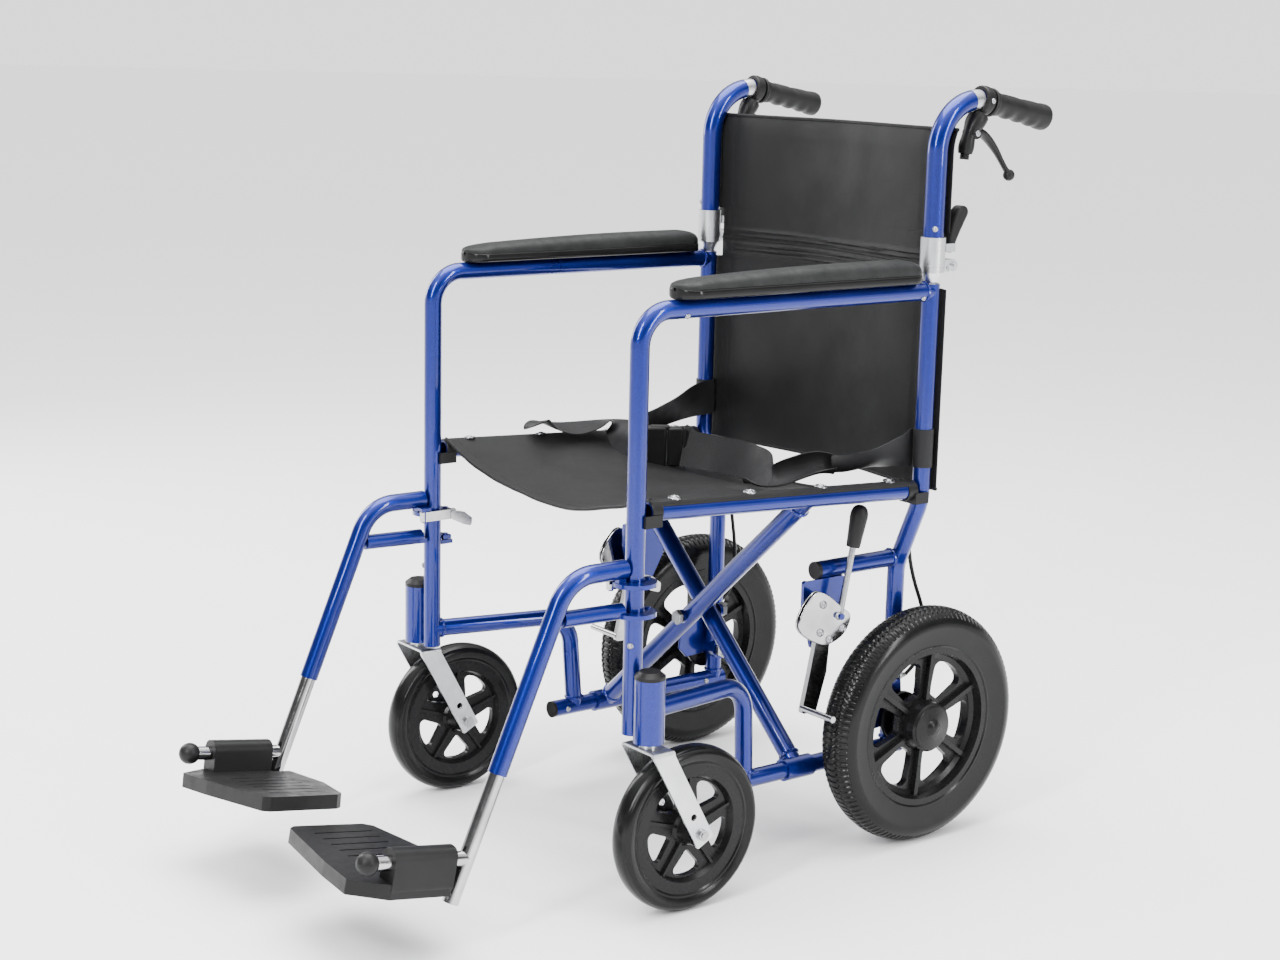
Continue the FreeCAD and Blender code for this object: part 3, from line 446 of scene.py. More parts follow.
def plate(name, outline, thickness, direction, material, body, bevel=0.0008):
    """Flat outline extruded along a direction."""
    total = len(outline)
    vertices = list(outline) + [p + direction * thickness for p in outline]
    faces = [tuple(range(total))[::-1], tuple(range(total, 2 * total))]
    faces += [(i, (i + 1) % total, total + (i + 1) % total, total + i) for i in range(total)]
    return piece(name, vertices, faces, material, body, 40.0, bevel)


def smooth_line(points):
    """The smooth curve that a NURBS spline draws through control points."""
    data = bpy.data.curves.new("line", "CURVE")
    data.dimensions = "3D"
    data.resolution_u = 10
    spline = data.splines.new("NURBS")
    spline.points.add(len(points) - 1)
    for target, place in zip(spline.points, points):
        target.co = (*place, 1.0)
    spline.order_u = 3
    spline.use_endpoint_u = True
    holder = bpy.data.objects.new("line", data)
    mesh = bpy.data.meshes.new_from_object(holder)
    line = [v.co.copy() for v in mesh.vertices]
    bpy.data.objects.remove(holder)
    return line


def tube(name, line, radius, material, body=None, sides=14, flat=1.0):
    """Round bar along a line of points, with closed ends. radius may be a function of the share of
    the way along; flat thins the section along the direction square to X."""
    vertices = []
    tangent = (line[1] - line[0]).normalized()
    normal = across(tangent)[0] if flat == 1.0 else tangent.cross(X).normalized()
    for i, place in enumerate(line):
        ahead = line[min(i + 1, len(line) - 1)] - line[max(i - 1, 0)]
        tangent = ahead.normalized()
        normal = (normal - tangent * normal.dot(tangent)).normalized()
        side = tangent.cross(normal)
        reach = radius(i / (len(line) - 1)) if callable(radius) else radius
        for k in range(sides):
            angle = math.tau * k / sides
            vertices.append(place + (normal * (flat * math.cos(angle)) + side * math.sin(angle)) * reach)
    return piece(name, vertices, quads(len(line), sides, caps=True), material, body)


def catmull(values, share):
    """Smooth value through a list of numbers or vectors, share from 0 to 1."""
    total = len(values) - 1
    place = min(max(share * total, 0.0), total - 1e-6)
    i = int(place)
    t = place - i
    p0, p1, p2, p3 = values[max(i - 1, 0)], values[i], values[i + 1], values[min(i + 2, total)]
    return 0.5 * ((2 * p1) + (p2 - p0) * t + (2 * p0 - 5 * p1 + 4 * p2 - p3) * t * t
                  + (3 * p1 - p0 - 3 * p2 + p3) * t ** 3)


def rounded(outline, count):
    """A closed outline as points of the smooth curve through its corners."""
    total = len(outline)
    looped = outline[-2:] + outline + outline[:3]
    return [catmull(looped, (2 + total * i / count) / (total + 4)) for i in range(count)]


def spaced(line, count):
    """The same line as evenly spaced points."""
    runs = [(b - a).length for a, b in zip(line, line[1:])]
    total, result, i, passed = sum(runs), [line[0].copy()], 0, 0.0
    for k in range(1, count):
        goal = total * k / count
        while passed + runs[i] < goal:
            passed += runs[i]
            i += 1
        result.append(line[i].lerp(line[i + 1], (goal - passed) / runs[i]))
    return result + [line[-1].copy()]


def screw(name, place, axis, radius, body, washer=None):
    """Domed screw head with a round recess, and a cup washer of the given radius under it."""
    profile = [(0, radius), (radius * 0.25, radius * 0.97), (radius * 0.5, radius * 0.78),
               (radius * 0.62, radius * 0.45), (radius * 0.55, radius * 0.3), (radius * 0.4, radius * 0.22),
               (radius * 0.4, 0.00001)]
    lathe(name, [(-0.0006, radius * 0.9)] + profile, place, axis, 20, "zinc_steel", body, None, False)
    if washer:
        ring = [(-0.0002, washer), (0.0008, washer * 0.95), (0.0013, washer * 0.75), (0.0004, washer * 0.6),
                (-0.0002, washer * 0.6)]
        lathe(name + "_washer", ring, place, axis, 28, "zinc_steel", body)


# ---------- wheels
def tyre_section(radius, half_width, bead, bead_half, steps):
    """Closed section of a tyre as (along, radius) points, from bead to bead over the crown."""
    middle = (radius + bead) / 2 + 0.001
    points = [(-bead_half, bead), (-bead_half - 0.0015, bead + 0.002), (-bead_half - 0.001, bead + 0.0045)]
    fullness = 0.96                   # below 1 is squarer than an ellipse
    for i in range(steps + 1):
        turn = math.pi * i / steps
        offset = -half_width * math.copysign(abs(math.cos(turn)) ** fullness, math.cos(turn))
        points.append((offset, middle + (radius - middle) * math.sin(turn) ** fullness))
    points += [(bead_half + 0.001, bead + 0.0045), (bead_half + 0.0015, bead + 0.002), (bead_half, bead)]
    return points


def rear_tread(angle, along, radius):
    """Fine shoulder nubs, a zigzag pair of grooves and a ring on the side wall."""
    if radius < WHEEL.z * 0.935:
        return 0.0007 if abs(radius - WHEEL.z * 0.775) < 0.002 else 0.0
    blocks = 114
    place = angle / math.tau * blocks
    zigzag = 0.0018 * (abs((place % 1.0) - 0.5) * 4 - 1)
    if abs(abs(along) - 0.0075 - zigzag) < 0.0013:
        return -0.0018
    if abs(along) > 0.0120 and place % 1.0 < 0.36:
        return -0.0017
    return -0.0012 if abs(along) < 0.0050 and (place + 0.5) % 1.0 < 0.22 else 0.0


def caster_rings(angle, along, radius):
    """Two shallow grooves round the crown."""
    return -0.0005 if abs(abs(along) - 0.0105) < 0.0008 and radius > 0.09 else 0.0


def wheels():
    """Tyres, and the caps over the rear hubs."""
    rear = tyre_section(WHEEL.z, 0.027, 0.103, 0.019, 44)
    front = tyre_section(CASTER.z, 0.0158, 0.078, 0.011, 30)
    cap = [(0.0240, 0.0290), (0.0262, 0.0286), (0.0272, 0.0262), (0.0275, 0.0120), (0.0285, 0.0102),
           (0.0310, 0.0078), (0.0326, 0.0045), (0.0330, 0.00001)]
    for name, side in SIDES.items():
        out, hub, body = X * side, mirrored(WHEEL, side), name + "_wheel"
        tyre = lathe("rear_tyre_rubber_" + name, rear, hub, out, 684, "tyre_rubber", body, rear_tread)
        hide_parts("rear_tyre_" + name)
        lathe("hub_cap_" + name, cap, hub, out, 48, "wheel_plastic", body, None, False)
        tyre = lathe("caster_tyre_rubber_" + name, front, mirrored(CASTER, side), out, 160, "tyre_rubber",
                     name + "_caster_wheel", caster_rings)
        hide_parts("caster_tyre_" + name)


# ---------- push grips
def grip_swell(angle, along, radius):
    """Finger grooves underneath and slanting scallops over the top, between plain ends."""
    if along < 0.008 or along > GRIP_LENGTH - 0.014:
        return 0.0
    fade = min(1.0, (along - 0.008) / 0.008, (GRIP_LENGTH - 0.014 - along) / 0.008)
    under = max(math.cos(angle), 0.0)
    over = max(-math.cos(angle), 0.0)
    groove = math.sin((along - 0.012) / 0.0215 * math.pi) ** 2
    scallop = math.sin((along + 0.012 * math.sin(angle)) / 0.034 * math.pi) ** 6
    return -fade * (0.0020 * groove * under + 0.0009 * scallop * over)


def grips():
    """Moulded rubber covers with an inner flange and a dished end."""
    length = GRIP_LENGTH
    outer = [(0.0, 0.0129), (0.0, 0.0172), (0.0022, 0.0180), (0.0046, 0.0176), (0.0062, 0.0160)]
    outer += [(0.0062 + (length - 0.017) * i / 50, 0.0148 + 0.0016 * (i / 50) ** 3) for i in range(1, 51)]
    outer += [(length - 0.006, 0.0166), (length - 0.0028, 0.0160), (length - 0.0008, 0.0142),
              (length, 0.0112), (length, 0.004), (length - 0.0015, 0.0028), (length - 0.0015, 0.00001)]
    for name, side in SIDES.items():
        grip = lathe("push_grip_cover_" + name, outer, mirrored(GRIP_START, side), GRIP_AXIS, 48,
                     "grip_rubber", name + "_back", grip_swell, False)
        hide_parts("push_grip_" + name)


# ---------- hand brakes and back release
def bend_point(side, degrees):
    """Point on the bent part of a back post."""
    turn = math.radians(degrees)
    return Vector((side * SIDE, REAR + BEND * (1 - math.cos(turn)), BEND_START + BEND * math.sin(turn)))


def hand_brakes():
    """Foil band, clamp, housing, lever and screws under each grip."""
    pivot = (0.057, 0.893)
    ball = 0.0074
    for name, side in SIDES.items():
        body = name + "_back"
        tube("foil_band_" + name, [bend_point(side, 80 + 1.2 * i) for i in range(11)], POST + 0.0003,
             "satin_aluminium", body, 32)
        start = mirrored(GRIP_START, side) - GRIP_AXIS * 0.0165
        ring = [(0, POST + 0.0001), (0, 0.0163), (0.0016, 0.0178), (0.0068, 0.0184), (0.0125, 0.0178),
                (0.0142, 0.0163), (0.0142, POST + 0.0001)]
        clamp = lathe("brake_clamp_" + name, ring, start, GRIP_AXIS, 40, "black_plastic", body)
        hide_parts("brake_mount_" + name)
        route = smooth_line(behind_post(side, [(0.068, 0.914), (0.058, 0.902), (0.049, 0.884),
                                               (0.047, 0.868)]))
        tube("brake_housing_" + name, spaced(route, 24),
             lambda u: 0.0135 - 0.0050 * u + 0.0014 * math.sin(9 * u), "black_plastic", body, 20, 0.85)
        tube("brake_boss_" + name, behind_post(side, [pivot], -0.0095) + behind_post(side, [pivot], 0.0095),
             0.0072, "black_plastic", body, 20)
        tube("cable_barrel_" + name, spaced(behind_post(side, [(0.047, 0.872), (0.046, 0.861)]), 9),
             lambda u: 0.0062 if int(u * 8) % 2 else 0.0054, "black_plastic", body, 16)
        for k, shift in enumerate((-0.0100, 0.0100)):
            screw("lever_pin_%s_%d" % (name, k), behind_post(side, [pivot], shift)[0],
                  X * math.copysign(1, shift), 0.0040, body)
        screw("clamp_screw_" + name, start + GRIP_AXIS * 0.007 + X * (0.0185 * side), X * side, 0.0034, body)
        line = smooth_line(behind_post(side, [(0.050, 0.892), (0.064, 0.896), (0.080, 0.890), (0.100, 0.872),
                                              (0.114, 0.854), (0.126, 0.841)]))
        lever = tube("brake_lever_blade_" + name, spaced(line, 40),
                     lambda u: 0.0098 - 0.0052 * min(u / 0.75, 1.0) ** 1.2, "black_plastic",
                     name + "_brake_lever", 20, 0.62)
        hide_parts("brake_lever_" + name)
        knob = [(-ball * math.cos(math.pi * i / 12), max(ball * math.sin(math.pi * i / 12), 0.00001))
                for i in range(13)]
        lathe("brake_lever_ball_" + name, knob, behind_post(side, [(0.1262, 0.8405)])[0], X, 20,
              "black_plastic", name + "_brake_lever", None, False)


def release_levers():
    """Rounded paddles behind the back hinges."""
    for name, side in SIDES.items():
        outline = behind_post(side, [(0.0205, 0.752), (0.0225, 0.774), (0.0300, 0.794), (0.0390, 0.8045),
                                     (0.0480, 0.8040), (0.0515, 0.7965), (0.0450, 0.784), (0.0350, 0.766),
                                     (0.0285, 0.751), (0.0245, 0.7485)], -0.0075)
        paddle = plate("release_paddle_" + name, rounded(outline, 44), 0.015, X, "black_plastic",
                       name + "_back_lever", 0.0026)
        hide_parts("back_lever_" + name)


# ---------- arm pads
PAD_RING = 40                         # points round the section of a pad


def pad_outline(share, length, width):
    """Half width of the pad at a share of its length: blunt rear end, rounder front."""
    ends = min(share, 1 - share) * length
    corner = 0.022 if share < 0.5 else 0.018
    if ends >= corner:
        return width / 2
    inset = corner - math.sqrt(max(corner ** 2 - (corner - ends) ** 2, 0))
    return width / 2 - inset


def pad_section(part, half, rise, floor, height):
    """One ring of (sideways, height) points: a squarish base, or a crowned cushion on top of it."""
    base = part == "base"
    ring = []
    for k in range(PAD_RING):
        angle = math.tau * k / PAD_RING
        across_share, up_share = math.cos(angle), math.sin(angle)
        u = math.copysign(abs(across_share) ** (0.42 if base else 0.62), across_share)
        v = math.copysign(abs(up_share) ** (0.35 if base else 0.8), up_share)
        if base:
            ring.append((u * half * (1.0 if v > -0.6 else 0.97), floor + height / 2 + v * height / 2))
        else:
            ring.append((u * (half - 0.0012) * (1.0 if v > 0 else 0.96),
                         floor + height - 0.001 + v * (rise if v > 0 else 0.003)))
    return ring


def arm_pads():
    """Glossy moulded base with a self-skinned foam cushion, higher towards the rear."""
    low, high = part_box("arm_pad_left")
    length, width = high.y - low.y, high.x - low.x
    middle = (low.x + high.x) / 2
    base_height = 0.013
    rows = 72
    for name, side in SIDES.items():
        for part, material in (("base", "pad_base"), ("cushion", "arm_foam")):
            vertices = []
            for i in range(rows + 1):
                share = 0.5 - 0.5 * math.cos(math.pi * i / rows)
                half = max(pad_outline(share, length, width), 0.0004)
                nose = min(1.0, share * length / 0.05, (1 - share) * length / 0.03)
                rise = high.z - low.z - base_height
                rise *= 0.55 + 0.45 * math.sin(math.pi * min(share / 0.75, 1.0) / 2)
                rise *= 0.35 + 0.65 * math.sqrt(max(1 - (1 - nose) ** 2, 0.0))
                vertices += [Vector((side * (middle + x), low.y + share * length, z))
                             for x, z in pad_section(part, half, rise, low.z, base_height)]
            made = piece("arm_%s_%s" % (part, name), vertices, quads(rows + 1, PAD_RING, caps=True), material,
                         name + "_frame", 60.0)
            if part == "cushion":
                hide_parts("arm_pad_" + name)


# ---------- seat and back cloth
def two_faced(name, top, under, count, material, smooth):
    """Thin closed cloth between two equal grids of points."""
    rows, shift = len(top) // count, len(top)
    faces = quads(rows, count, round_count=False)
    faces += [(a + shift, d + shift, c + shift, b + shift) for a, b, c, d in faces]
    edge = list(range(count)) + [i * count + count - 1 for i in range(1, rows)]
    edge += [(rows - 1) * count + k for k in range(count - 2, -1, -1)]
    edge += [i * count for i in range(rows - 2, 0, -1)]
    faces += [(a, b, b + shift, a + shift) for a, b in zip(edge, edge[1:] + edge[:1])]
    return piece(name, top + under, faces, material, None, smooth)


def sheet_piece(name, rows, material, toward):
    """Cloth over rows of points; its second face lies toward the given side."""
    top = [p for row in rows for p in row]
    return two_faced(name, top, [p + toward * CLOTH for p in top], len(rows[0]), material, 60.0)


def ripple(place, scale, height, seed=0.0):
    """Soft unevenness of the cloth."""
    return height * noise.noise(Vector((place.x * scale, place.y * scale + seed, place.z * scale)))


SEAT_LOW, SEAT_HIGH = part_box("seat_sling")
SEAT_SAG = 0.040
LEAVE = math.radians(20)              # where the cloth leaves the round of the rail
HANG = SIDE - (TUBE + 0.0010) * math.sin(LEAVE)


def seat_height(behind):
    """Crown of the seat rails, with the cloth's clearance."""
    return rail_height(behind) + TUBE + 0.0008


def seat_point(x, behind, lift=0.0):
    """Point on the seat cloth: it lies on the rails, then hangs between them."""
    off = abs(x) - SIDE
    if abs(x) > HANG:
        z = seat_height(behind) - TUBE + math.sqrt(max((TUBE + 0.0002) ** 2 - off * off, 0.0))
    else:
        share = x / HANG
        depth = SEAT_SAG * (0.86 + 0.14 * abs(2 * (behind - 0.015) / 0.407 - 1))
        z = seat_height(behind) - TUBE * (1 - math.cos(LEAVE)) - depth * (1 - share * share)
        place = at(x, behind, z)
        z += (1 - share ** 6) * (ripple(place, 9.0, 0.0035) + ripple(place, 26.0, 0.0012, 7.0))
    return at(x, behind, z + lift)


def lie_on_seat(thing):
    """Bake the piece's placement into its mesh, leaving it on no body."""
    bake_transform(thing)


def seat_cloth():
    """The seat from rail to rail, with its hems, its screws and the collars at the rail ends."""
    start, end = SEAT_LOW.y - FRONT + 0.001, SEAT_HIGH.y - FRONT - 0.004
    stops = [-SIDE - TUBE * math.sin(math.radians(60 - 12 * k)) for k in range(5)]
    stops += [-SIDE + 2 * SIDE * k / 72 for k in range(73)]
    stops += [SIDE + TUBE * math.sin(math.radians(12 + 12 * k)) for k in range(5)]
    rows = [[seat_point(x, start + (end - start) * i / 60, 0.0016) for x in stops] for i in range(61)]
    cloth = sheet_piece("seat_cloth", rows, "black_nylon", -Z)
    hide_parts("seat_sling")
    lie_on_seat(cloth)
    for label, behind, radius in (("front", start + 0.003, 0.0024), ("rear", end - 0.003, 0.0024),
                                  ("front_stitch", start + 0.017, 0.0008)):
        line = [seat_point(-SIDE + 2 * SIDE * k / 48, behind, 0.0012) for k in range(49)]
        lie_on_seat(tube("seat_hem_" + label, line, radius, "black_nylon", None, 10))
    sleeve = [(0, TUBE + 0.0001), (0, TUBE + 0.0011), (0.0008, TUBE + 0.0019), (0.0142, TUBE + 0.0019),
              (0.0150, TUBE + 0.0011), (0.0150, TUBE + 0.0001)]
    for name, side in SIDES.items():
        body = "brace_b" if side > 0 else "brace_a"
        for k in range(4):
            place = seat_point(side * (SIDE - 0.001), 0.055 + 0.112 * k, 0.0016)
            axis = Vector((side * 0.12, 0, 1)).normalized()
            screw("seat_screw_%s_%d" % (name, k), place, axis, 0.0042, body, 0.0078)
        for label, behind in (("front", 0.0152), ("rear", 0.4150)):
            lathe("rail_end_%s_%s" % (label, name), sleeve, at(side * SIDE, behind, rail_height(behind)),
                  Vector((0, 1, -RAIL_SLOPE)).normalized(), 32, "black_plastic", body)


BACK_PLANE = REAR + POST + 0.0013     # front face of the back cloth at the posts
FLAP = SIDE + 0.0125                  # half width of the cloth where it wraps the posts
NECK = SIDE - 0.0135                  # half width beside the clamps and hinges


def back_point(x, z):
    """Point on the back cloth, bowed rearwards between the posts and following their bend."""
    share = min(abs(x) / (SIDE - 0.02), 1.0)
    rise = min(max(z - BEND_START, 0.0) / BEND, 0.9)
    bow = 0.017 * (1 - share * share) ** 2.6
    place = Vector((x, BACK_PLANE + bow + BEND * (1 - math.sqrt(1 - rise * rise)), z))
    place.y += (1 - share * share) * (ripple(place, 7.0, 0.0050, 3.0) + ripple(place, 22.0, 0.0014, 11.0))
    return place


def back_panel(name, low, high, body, pleats, is_flap, shift):
    """One length of back cloth with pleats across it and stitched side channels. is_flap(height)
    says where it wraps the posts."""
    columns, lines = 96, max(int((high - low) / 0.0022), 30)
    rows = []
    for i in range(lines + 1):
        z = low + (high - low) * i / lines
        row = []
        outer = FLAP if is_flap(z) else NECK
        for k in range(columns + 1):
            share = -1 + 2 * k / columns
            place = back_point(share * outer, z)
            place.y += shift
            for pleat in pleats:
                wander = 0.0010 * math.sin(share * 5 + pleat * 90)
                place.y -= 0.0036 * math.exp(-((z - pleat - wander) / 0.0022) ** 2) * (1 - abs(share) ** 12)
            for seam in (0.0300, 0.0355):
                place.y += 0.0008 * math.exp(-((abs(place.x) - SIDE + seam) / 0.0012) ** 2)
            row.append(place)
        rows.append(row)
    cloth = sheet_piece(name, rows, "back_nylon", Y)
    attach(cloth, body)
    return cloth


def fold_flat(thing):
    """Give the piece its own copy of its mesh."""
    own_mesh(thing)


def back_cloth():
    """Upper and lower length of the back, with their hems."""
    hinge, top, bottom = BACK_PIN.z, 0.899, 0.452
    upper = back_panel("back_cloth_upper", hinge - 0.002, top, "left_back", (0.7375, 0.7435),
                       lambda z: z > 0.772, 0.0)
    lower = back_panel("back_cloth_lower", bottom, hinge + 0.004, "left_frame", (0.7145, 0.7205, 0.7265),
                       lambda z: z < 0.706, -0.0008)
    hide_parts("back_sling_upper")
    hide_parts("back_sling_lower")
    hems = []
    for label, z, half, body in (("top", 0.8975, SIDE + 0.012, "left_back"),
                                 ("fold", 0.7325, SIDE - 0.014, "left_back"),
                                 ("bottom", 0.4540, SIDE + 0.012, "left_frame")):
        line = [back_point(-half + 2 * half * k / 48, z) + Y * 0.0006 for k in range(49)]
        hems.append(tube("back_hem_" + label, line, 0.0024, "back_nylon", body, 10))
    for thing in [upper, lower] + hems:
        fold_flat(thing)


# ---------- lap belt
def ribbon(name, stations, steps=70):
    """Strap through stations (x, setback, z, roll, curl), angles in degrees: roll tips the width
    from level, and curl is the arc into which the width bends, edges upward."""
    centres = [at(*station[:3]) for station in stations]
    rolls = [math.radians(station[3]) for station in stations]
    curls = [math.radians(station[4] if len(station) > 4 else 8) for station in stations]
    top, under, length, count = [], [], 0.0, 13
    for i in range(steps + 1):
        share = i / steps
        place = catmull(centres, share)
        ahead = catmull(centres, min(share + 0.01, 1)) - catmull(centres, max(share - 0.01, 0))
        ahead.normalize()
        level = ahead.cross(Z).normalized()
        upward = level.cross(ahead).normalized()
        roll = catmull(rolls, share)
        span = level * math.cos(roll) + upward * math.sin(roll)
        down = ahead.cross(span)
        curl = max(catmull(curls, share), 0.1)
        for k in range(count):
            turn = curl * (k / (count - 1) - 0.5)
            spot = place + (span * math.sin(turn) - down * (1 - math.cos(turn))) * (STRAP / curl)
            normal = down * math.cos(turn) + span * math.sin(turn)
            top.append(spot + normal * CLOTH / 2)
            under.append(spot - normal * CLOTH / 2)
        length += (place - catmull(centres, max(share - 1 / steps, 0.0))).length
    strap = two_faced(name, top, under, count, "webbing", 50.0)
    return strap


def buckle(centre, run, lean):
    """Side-release buckle standing on its long edge, with its two prongs and the adjuster bars."""
    run = Vector(run).normalized()
    up = (Z - run * run.z).normalized()
    out = run.cross(up)
    up = (up * math.cos(lean) + out * math.sin(lean)).normalized()
    out = run.cross(up)
    middle = at(*centre)

    def bar(name, low, high, deep, bevel):
        """Block between two corners in the buckle's own directions, centred through its thickness."""
        corners = [(low[0], low[1]), (high[0], low[1]), (high[0], high[1]), (low[0], high[1])]
        ring = [middle + run * a + up * b - out * (deep / 2) for a, b in corners]
        lie_on_seat(plate(name, ring, deep, out, "black_plastic", None, bevel))

    bar("buckle_body", (-0.008, -0.0285), (0.026, 0.0285), 0.0125, 0.0030)
    bar("buckle_tongue", (-0.030, -0.0275), (-0.0095, 0.0275), 0.0100, 0.0026)
    bar("buckle_prong_low", (-0.012, -0.0300), (0.014, -0.0235), 0.0080, 0.0020)
    bar("buckle_prong_high", (-0.012, 0.0235), (0.014, 0.0300), 0.0080, 0.0020)
    for k in range(3):
        start = 0.0185 + 0.0058 * k
        bar("buckle_bar_%d" % k, (start, -0.0280), (start + 0.0030, 0.0280), 0.0150, 0.0012)
    bar("buckle_slot_bar", (-0.034, -0.0280), (-0.0305, 0.0280), 0.0115, 0.0014)


def lap_belt():
    """Belt lengths lying across the seat, and the ends that rise to loops round the rear posts."""
    lying = {
        "belt_near_lying": [(0.158, 0.350, 0.4755, 30, 230), (0.147, 0.334, 0.4800, 50, 190),
                            (0.128, 0.316, 0.4700, 46, 150), (0.108, 0.298, 0.4580, 30, 120),
                            (0.086, 0.296, 0.4500, 0, 110), (0.066, 0.314, 0.4540, 34, 70),
                            (0.042, 0.332, 0.4620, 62), (0.000, 0.338, 0.4640, 66),
                            (-0.045, 0.327, 0.4660, 72), (-0.085, 0.304, 0.4695, 78)],
        "belt_far_lying": [(-0.128, 0.262, 0.4710, 78), (-0.150, 0.268, 0.4740, 74),
                           (-0.170, 0.292, 0.4800, 66), (-0.184, 0.330, 0.4880, 58)],
        "belt_tail": [(-0.126, 0.262, 0.4700, 78), (-0.150, 0.262, 0.4750, 52), (-0.176, 0.272, 0.4860, 14),
                      (-0.192, 0.262, 0.4930, -8), (-0.200, 0.235, 0.4870, 4), (-0.204, 0.205, 0.4850, 10),
                      (-0.207, 0.178, 0.4900, 4), (-0.209, 0.160, 0.4985, -10), (-0.207, 0.150, 0.4930, -24)],
    }
    straps = {name: ribbon(name, stations) for name, stations in lying.items()}
    for strap in straps.values():
        lie_on_seat(strap)
    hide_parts("lap_belt")
    buckle((-0.106, 0.283, 0.4705), (-0.606, -0.795, 0.0), math.radians(-12))
    rising = {
        "belt_near_post": ("left", [(0.158, 0.350, 0.4755, 30, 230), (0.172, 0.364, 0.4780, 28, 190),
                                    (0.190, 0.390, 0.4880, 40, 70), (0.203, 0.418, 0.5010, 62),
                                    (0.2045, 0.436, 0.5050, 84), (0.2045, 0.452, 0.5065, 90)]),
        "belt_far_post": ("right", [(-0.184, 0.330, 0.4880, 58), (-0.195, 0.372, 0.4960, 62),
                                    (-0.203, 0.410, 0.5040, 76), (-0.2045, 0.436, 0.5080, 88),
                                    (-0.2045, 0.452, 0.5085, 90)]),
    }
    half = STRAP / 2
    loop = [(-half, TUBE + 0.0002), (-half, TUBE + 0.0016), (half, TUBE + 0.0016), (half, TUBE + 0.0002)]
    for name, (word, stations) in rising.items():
        side = SIDES[word]
        centre = at(side * SIDE, REAR - FRONT, stations[-1][2])
        band = lathe(name + "_loop", loop, centre, Z, 36, "webbing", None)
        for thing in (ribbon(name, stations, 40), band):
            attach(thing, word + "_frame")
            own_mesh(thing)


# ---------- brake cables
# control points of each cable: inward of the frame side, behind the rear post, height
CABLE = [
    (-0.024, 0.039, 0.880), (-0.024, 0.026, 0.845), (-0.024, 0.020, 0.800), (-0.024, 0.020, 0.752),
    (-0.024, 0.021, 0.700), (-0.023, 0.020, 0.650), (-0.022, 0.020, 0.600), (-0.022, 0.020, 0.550),
    (-0.022, 0.0195, 0.500), (-0.026, 0.0195, 0.455), (-0.036, 0.020, 0.410), (-0.038, 0.021, 0.365),
    (-0.035, 0.030, 0.325), (-0.028, 0.041, 0.290), (-0.024, 0.045, 0.255), (-0.023, 0.038, 0.222),
    (-0.022, 0.011, 0.2056),
]


def brake_cables():
    """Cables from the hand brakes to the hub brakes."""
    for name, side in SIDES.items():
        route = [Vector((side * (SIDE + x), REAR + y, z)) for x, y, z in CABLE]
        line = smooth_line(route)
        cable = tube("cable_" + name, line, 0.0025, "cable_cover", None, 12)
        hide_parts("brake_cable_" + name)
        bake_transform(cable)


def parking_brakes():
    """Chrome toggle plates, steel stem and tapered black grip."""
    for name, side in SIDES.items():
        body, out = name + "_park_lever", X * side
        start, end = at(side * 0.205, 0.329, 0.306), at(side * 0.205, 0.346, 0.389)
        axis = (end - start).normalized()
        outline = [at(side * 0.200, y, z) for y, z in ((0.288, 0.340), (0.332, 0.314), (0.345, 0.300),
                                                       (0.331, 0.278), (0.298, 0.272), (0.260, 0.300))]
        ring = rounded(outline, 48)
        face = plate("toggle_plate_" + name, ring, 0.0026, out, "chrome", body)
        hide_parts("park_lever_" + name)
        plate("toggle_back_" + name, [p + out * 0.0052 for p in ring], 0.0026, out, "chrome", body)
        for k, (y, z) in enumerate(((0.298, 0.323), (0.295, 0.288), (0.310, 0.277), (0.332, 0.288),
                                    (0.325, 0.305))):
            screw("toggle_bolt_%s_%d" % (name, k), at(side * 0.2078, y, z), out, 0.0052, body)
        tube("park_stem_" + name, [start, end], 0.0040, "zinc_steel", body, 20)
        taper = [(0.0, 0.0042), (0.0, 0.0078), (0.0015, 0.0086), (0.030, 0.0106), (0.038, 0.0112),
                 (0.044, 0.0108), (0.049, 0.0090), (0.052, 0.0060), (0.0532, 0.0028), (0.0534, 0.00001)]
        lathe("park_grip_" + name, taper, end, axis, 32, "grip_rubber", body, None, False)


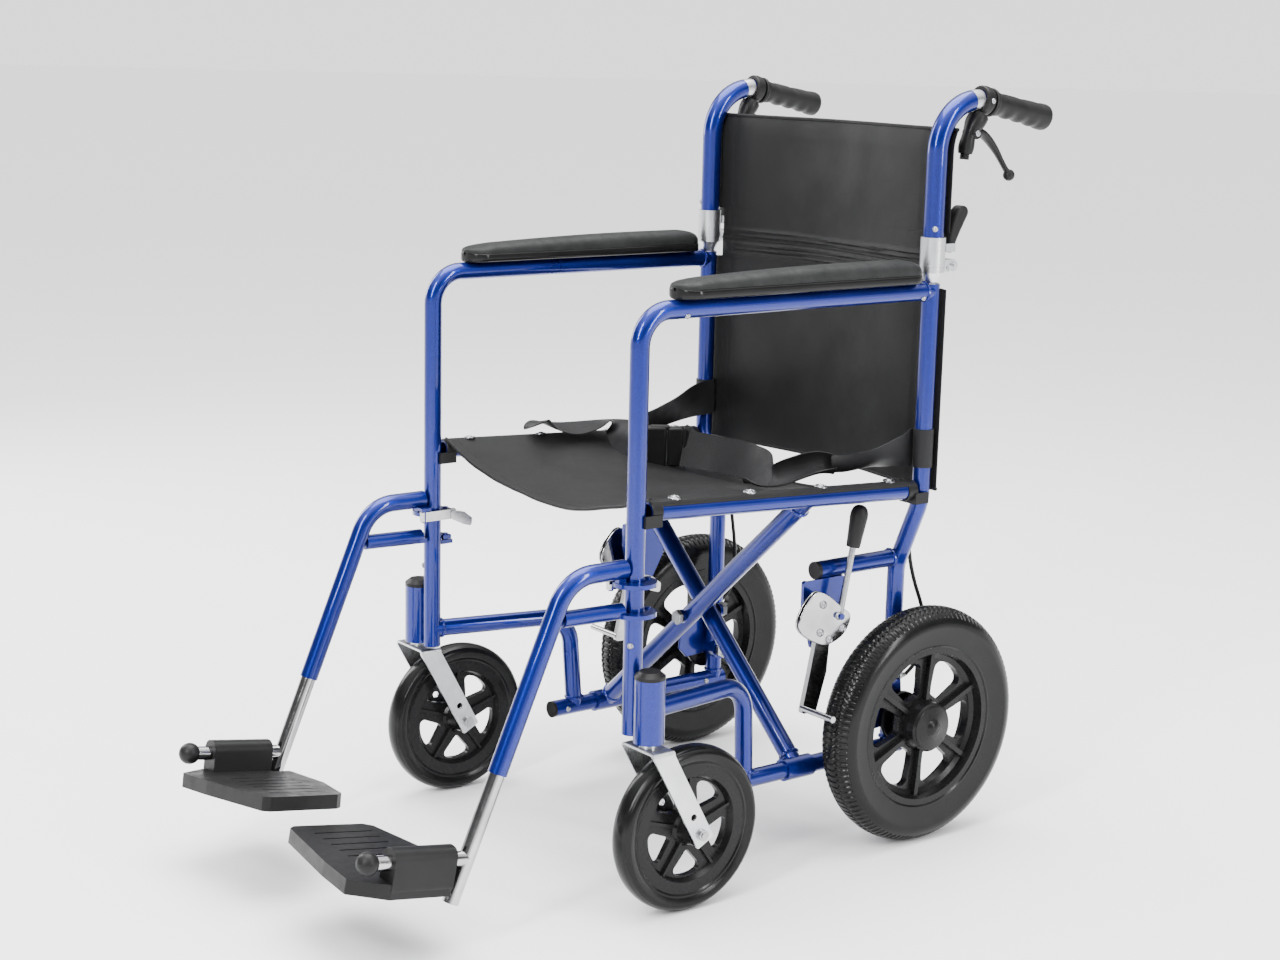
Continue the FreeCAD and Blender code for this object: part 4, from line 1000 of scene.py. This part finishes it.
def hub_brakes():
    """Dark drum covers on steel axles, each with its blue arm and cable adjuster."""
    cover = [(0.0, 0.0085), (0.0, 0.0300), (0.0012, 0.0322), (0.0030, 0.0330), (0.0075, 0.0330),
             (0.0090, 0.0322), (0.0090, 0.0085)]
    nut = [(0.0, 0.0085), (0.0, 0.0110), (0.0008, 0.0118), (0.0052, 0.0118), (0.0060, 0.0110),
           (0.0060, 0.0085)]
    arm = ((-0.008, -0.010), (-0.040, -0.012), (-0.054, 0.002), (-0.052, 0.028), (-0.030, 0.048),
           (-0.006, 0.060), (0.003, 0.058), (0.006, 0.030), (0.014, 0.000))
    for name, side in SIDES.items():
        hub, body, out = mirrored(WHEEL, side), name + "_frame", X * side
        inner = hub - out * 0.0377
        drum = lathe("drum_cover_" + name, cover, inner, out, 56, "wheel_plastic", body)
        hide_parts("hub_brake_" + name)
        tube("axle_" + name, [hub - out * 0.0707, hub + out * 0.018], 0.00795, "zinc_steel", body, 24)
        lathe("axle_nut_" + name, nut, hub - out * 0.0757, out, 6, "zinc_steel", body)
        outline = [Vector((inner.x - 0.0005 * side, REAR + y, WHEEL.z + z)) for y, z in arm]
        plate("brake_arm_" + name, outline, 0.0034, -out, "blue_paint", body, 0.0010)
        barrel = Vector((side * 0.195, REAR + 0.0090, 0.2055))
        tube("cable_adjuster_" + name, [barrel - Y * (0.0028 * i) for i in range(11)],
             lambda u: 0.0036 if int(u * 10) % 2 else 0.0030, "zinc_steel", body, 16)
        lathe("adjuster_nut_" + name, [(0, 0.0032), (0, 0.0056), (0.004, 0.0056), (0.004, 0.0032)],
              barrel - Y * 0.012, Y, 6, "zinc_steel", body)


def weld(name, place, axis, body, radius=TUBE):
    """Bead of weld round a tube."""
    section = [(-0.0022, radius), (-0.0016, radius + 0.0013), (0.0, radius + 0.0018),
               (0.0016, radius + 0.0012), (0.0024, radius)]
    lathe(name, section, place, axis, 72, "blue_paint", body,
          lambda angle, along, r: 0.00035 * math.sin(angle * 24) if r > radius + 0.0005 else 0.0)


def fittings():
    """Weld beads, frame screws, cable clips and the nuts of the centre bolt."""
    reach = REAR - FRONT
    side_run = (at(0.184, 0.195, 0.234) - at(SIDE, 0, 0.2375)).normalized()
    beads = {
        "arm_rear": (at(SIDE, reach - 0.0125, 0.702), Y),
        "side_front": (at(SIDE, 0, 0.2375) + side_run * 0.0128, side_run),
        "side_foot": (at(0.180, 0.203, 0.108 + 0.0125), Z),
        "post_foot": (at(0.180, reach, 0.108 + 0.0125), Z),
        "stub": (at(0.180, reach - 0.0125, 0.359), Y),
    }
    screws = [(at(SIDE, reach, 0.7785), Vector((0.8, -0.6, 0)), POST, "back"),
              (at(SIDE, reach - 0.020, 0.702), Vector((0.75, 0, -0.66)), TUBE, "frame"),
              (at(SIDE, 0.060, 0.702), Vector((0.75, 0, -0.66)), TUBE, "frame")]
    screws += [(at(0.180, behind, 0.108), way, TUBE, "frame") for behind in (0.186, 0.425) for way in (X, -X)]
    screws += [(at(SIDE, 0, 0.322), Vector((0.6, -0.8, 0)), TUBE, "frame")]
    for name, side in SIDES.items():
        for label, (place, axis) in beads.items():
            weld("weld_%s_%s" % (label, name), mirrored(place, side), mirrored(axis, side), name + "_frame")
        for k, (place, axis, radius, body) in enumerate(screws):
            axis = axis.normalized()
            screw("frame_screw_%s_%d" % (name, k), mirrored(place + axis * (radius + 0.0001), side),
                  mirrored(axis, side), 0.0036, name + "_" + body)
        line = behind_post(side, [(0.0, 0.352), (0.006, 0.352), (0.0135, 0.352)], -0.037 * side)
        tube("cable_clip_" + name, line, 0.0052, "blue_paint", name + "_frame", 12)
        brace = "brace_a" if side > 0 else "brace_b"
        behind = 0.288 if side > 0 else 0.257
        foot = at(side * 0.180, behind, 0.108)
        head = at(-side * SIDE, behind, RAIL_FRONT.z - 0.257 * RAIL_SLOPE)
        run = (head - foot).normalized()
        weld("weld_brace_foot_" + name, foot + run * 0.0185, run, brace, 0.0120)
        weld("weld_brace_head_" + name, head - run * 0.0190, run, brace, 0.0120)
    nut = [(0, 0.0052), (0, 0.0090), (0.0010, 0.0100), (0.0058, 0.0100), (0.0068, 0.0088), (0.0068, 0.00001)]
    for label, behind, way in (("front", 0.2395, -Y), ("rear", 0.3055, Y)):
        lathe("pivot_nut_" + label, nut, at(0, behind, PIVOT.z), way, 6, "zinc_steel", "brace_b", None, False)


camera()
studio()
dress_nodes()
wheels()
grips()
hand_brakes()
release_levers()
parking_brakes()
hub_brakes()
fittings()
arm_pads()
seat_cloth()
back_cloth()
lap_belt()
brake_cables()
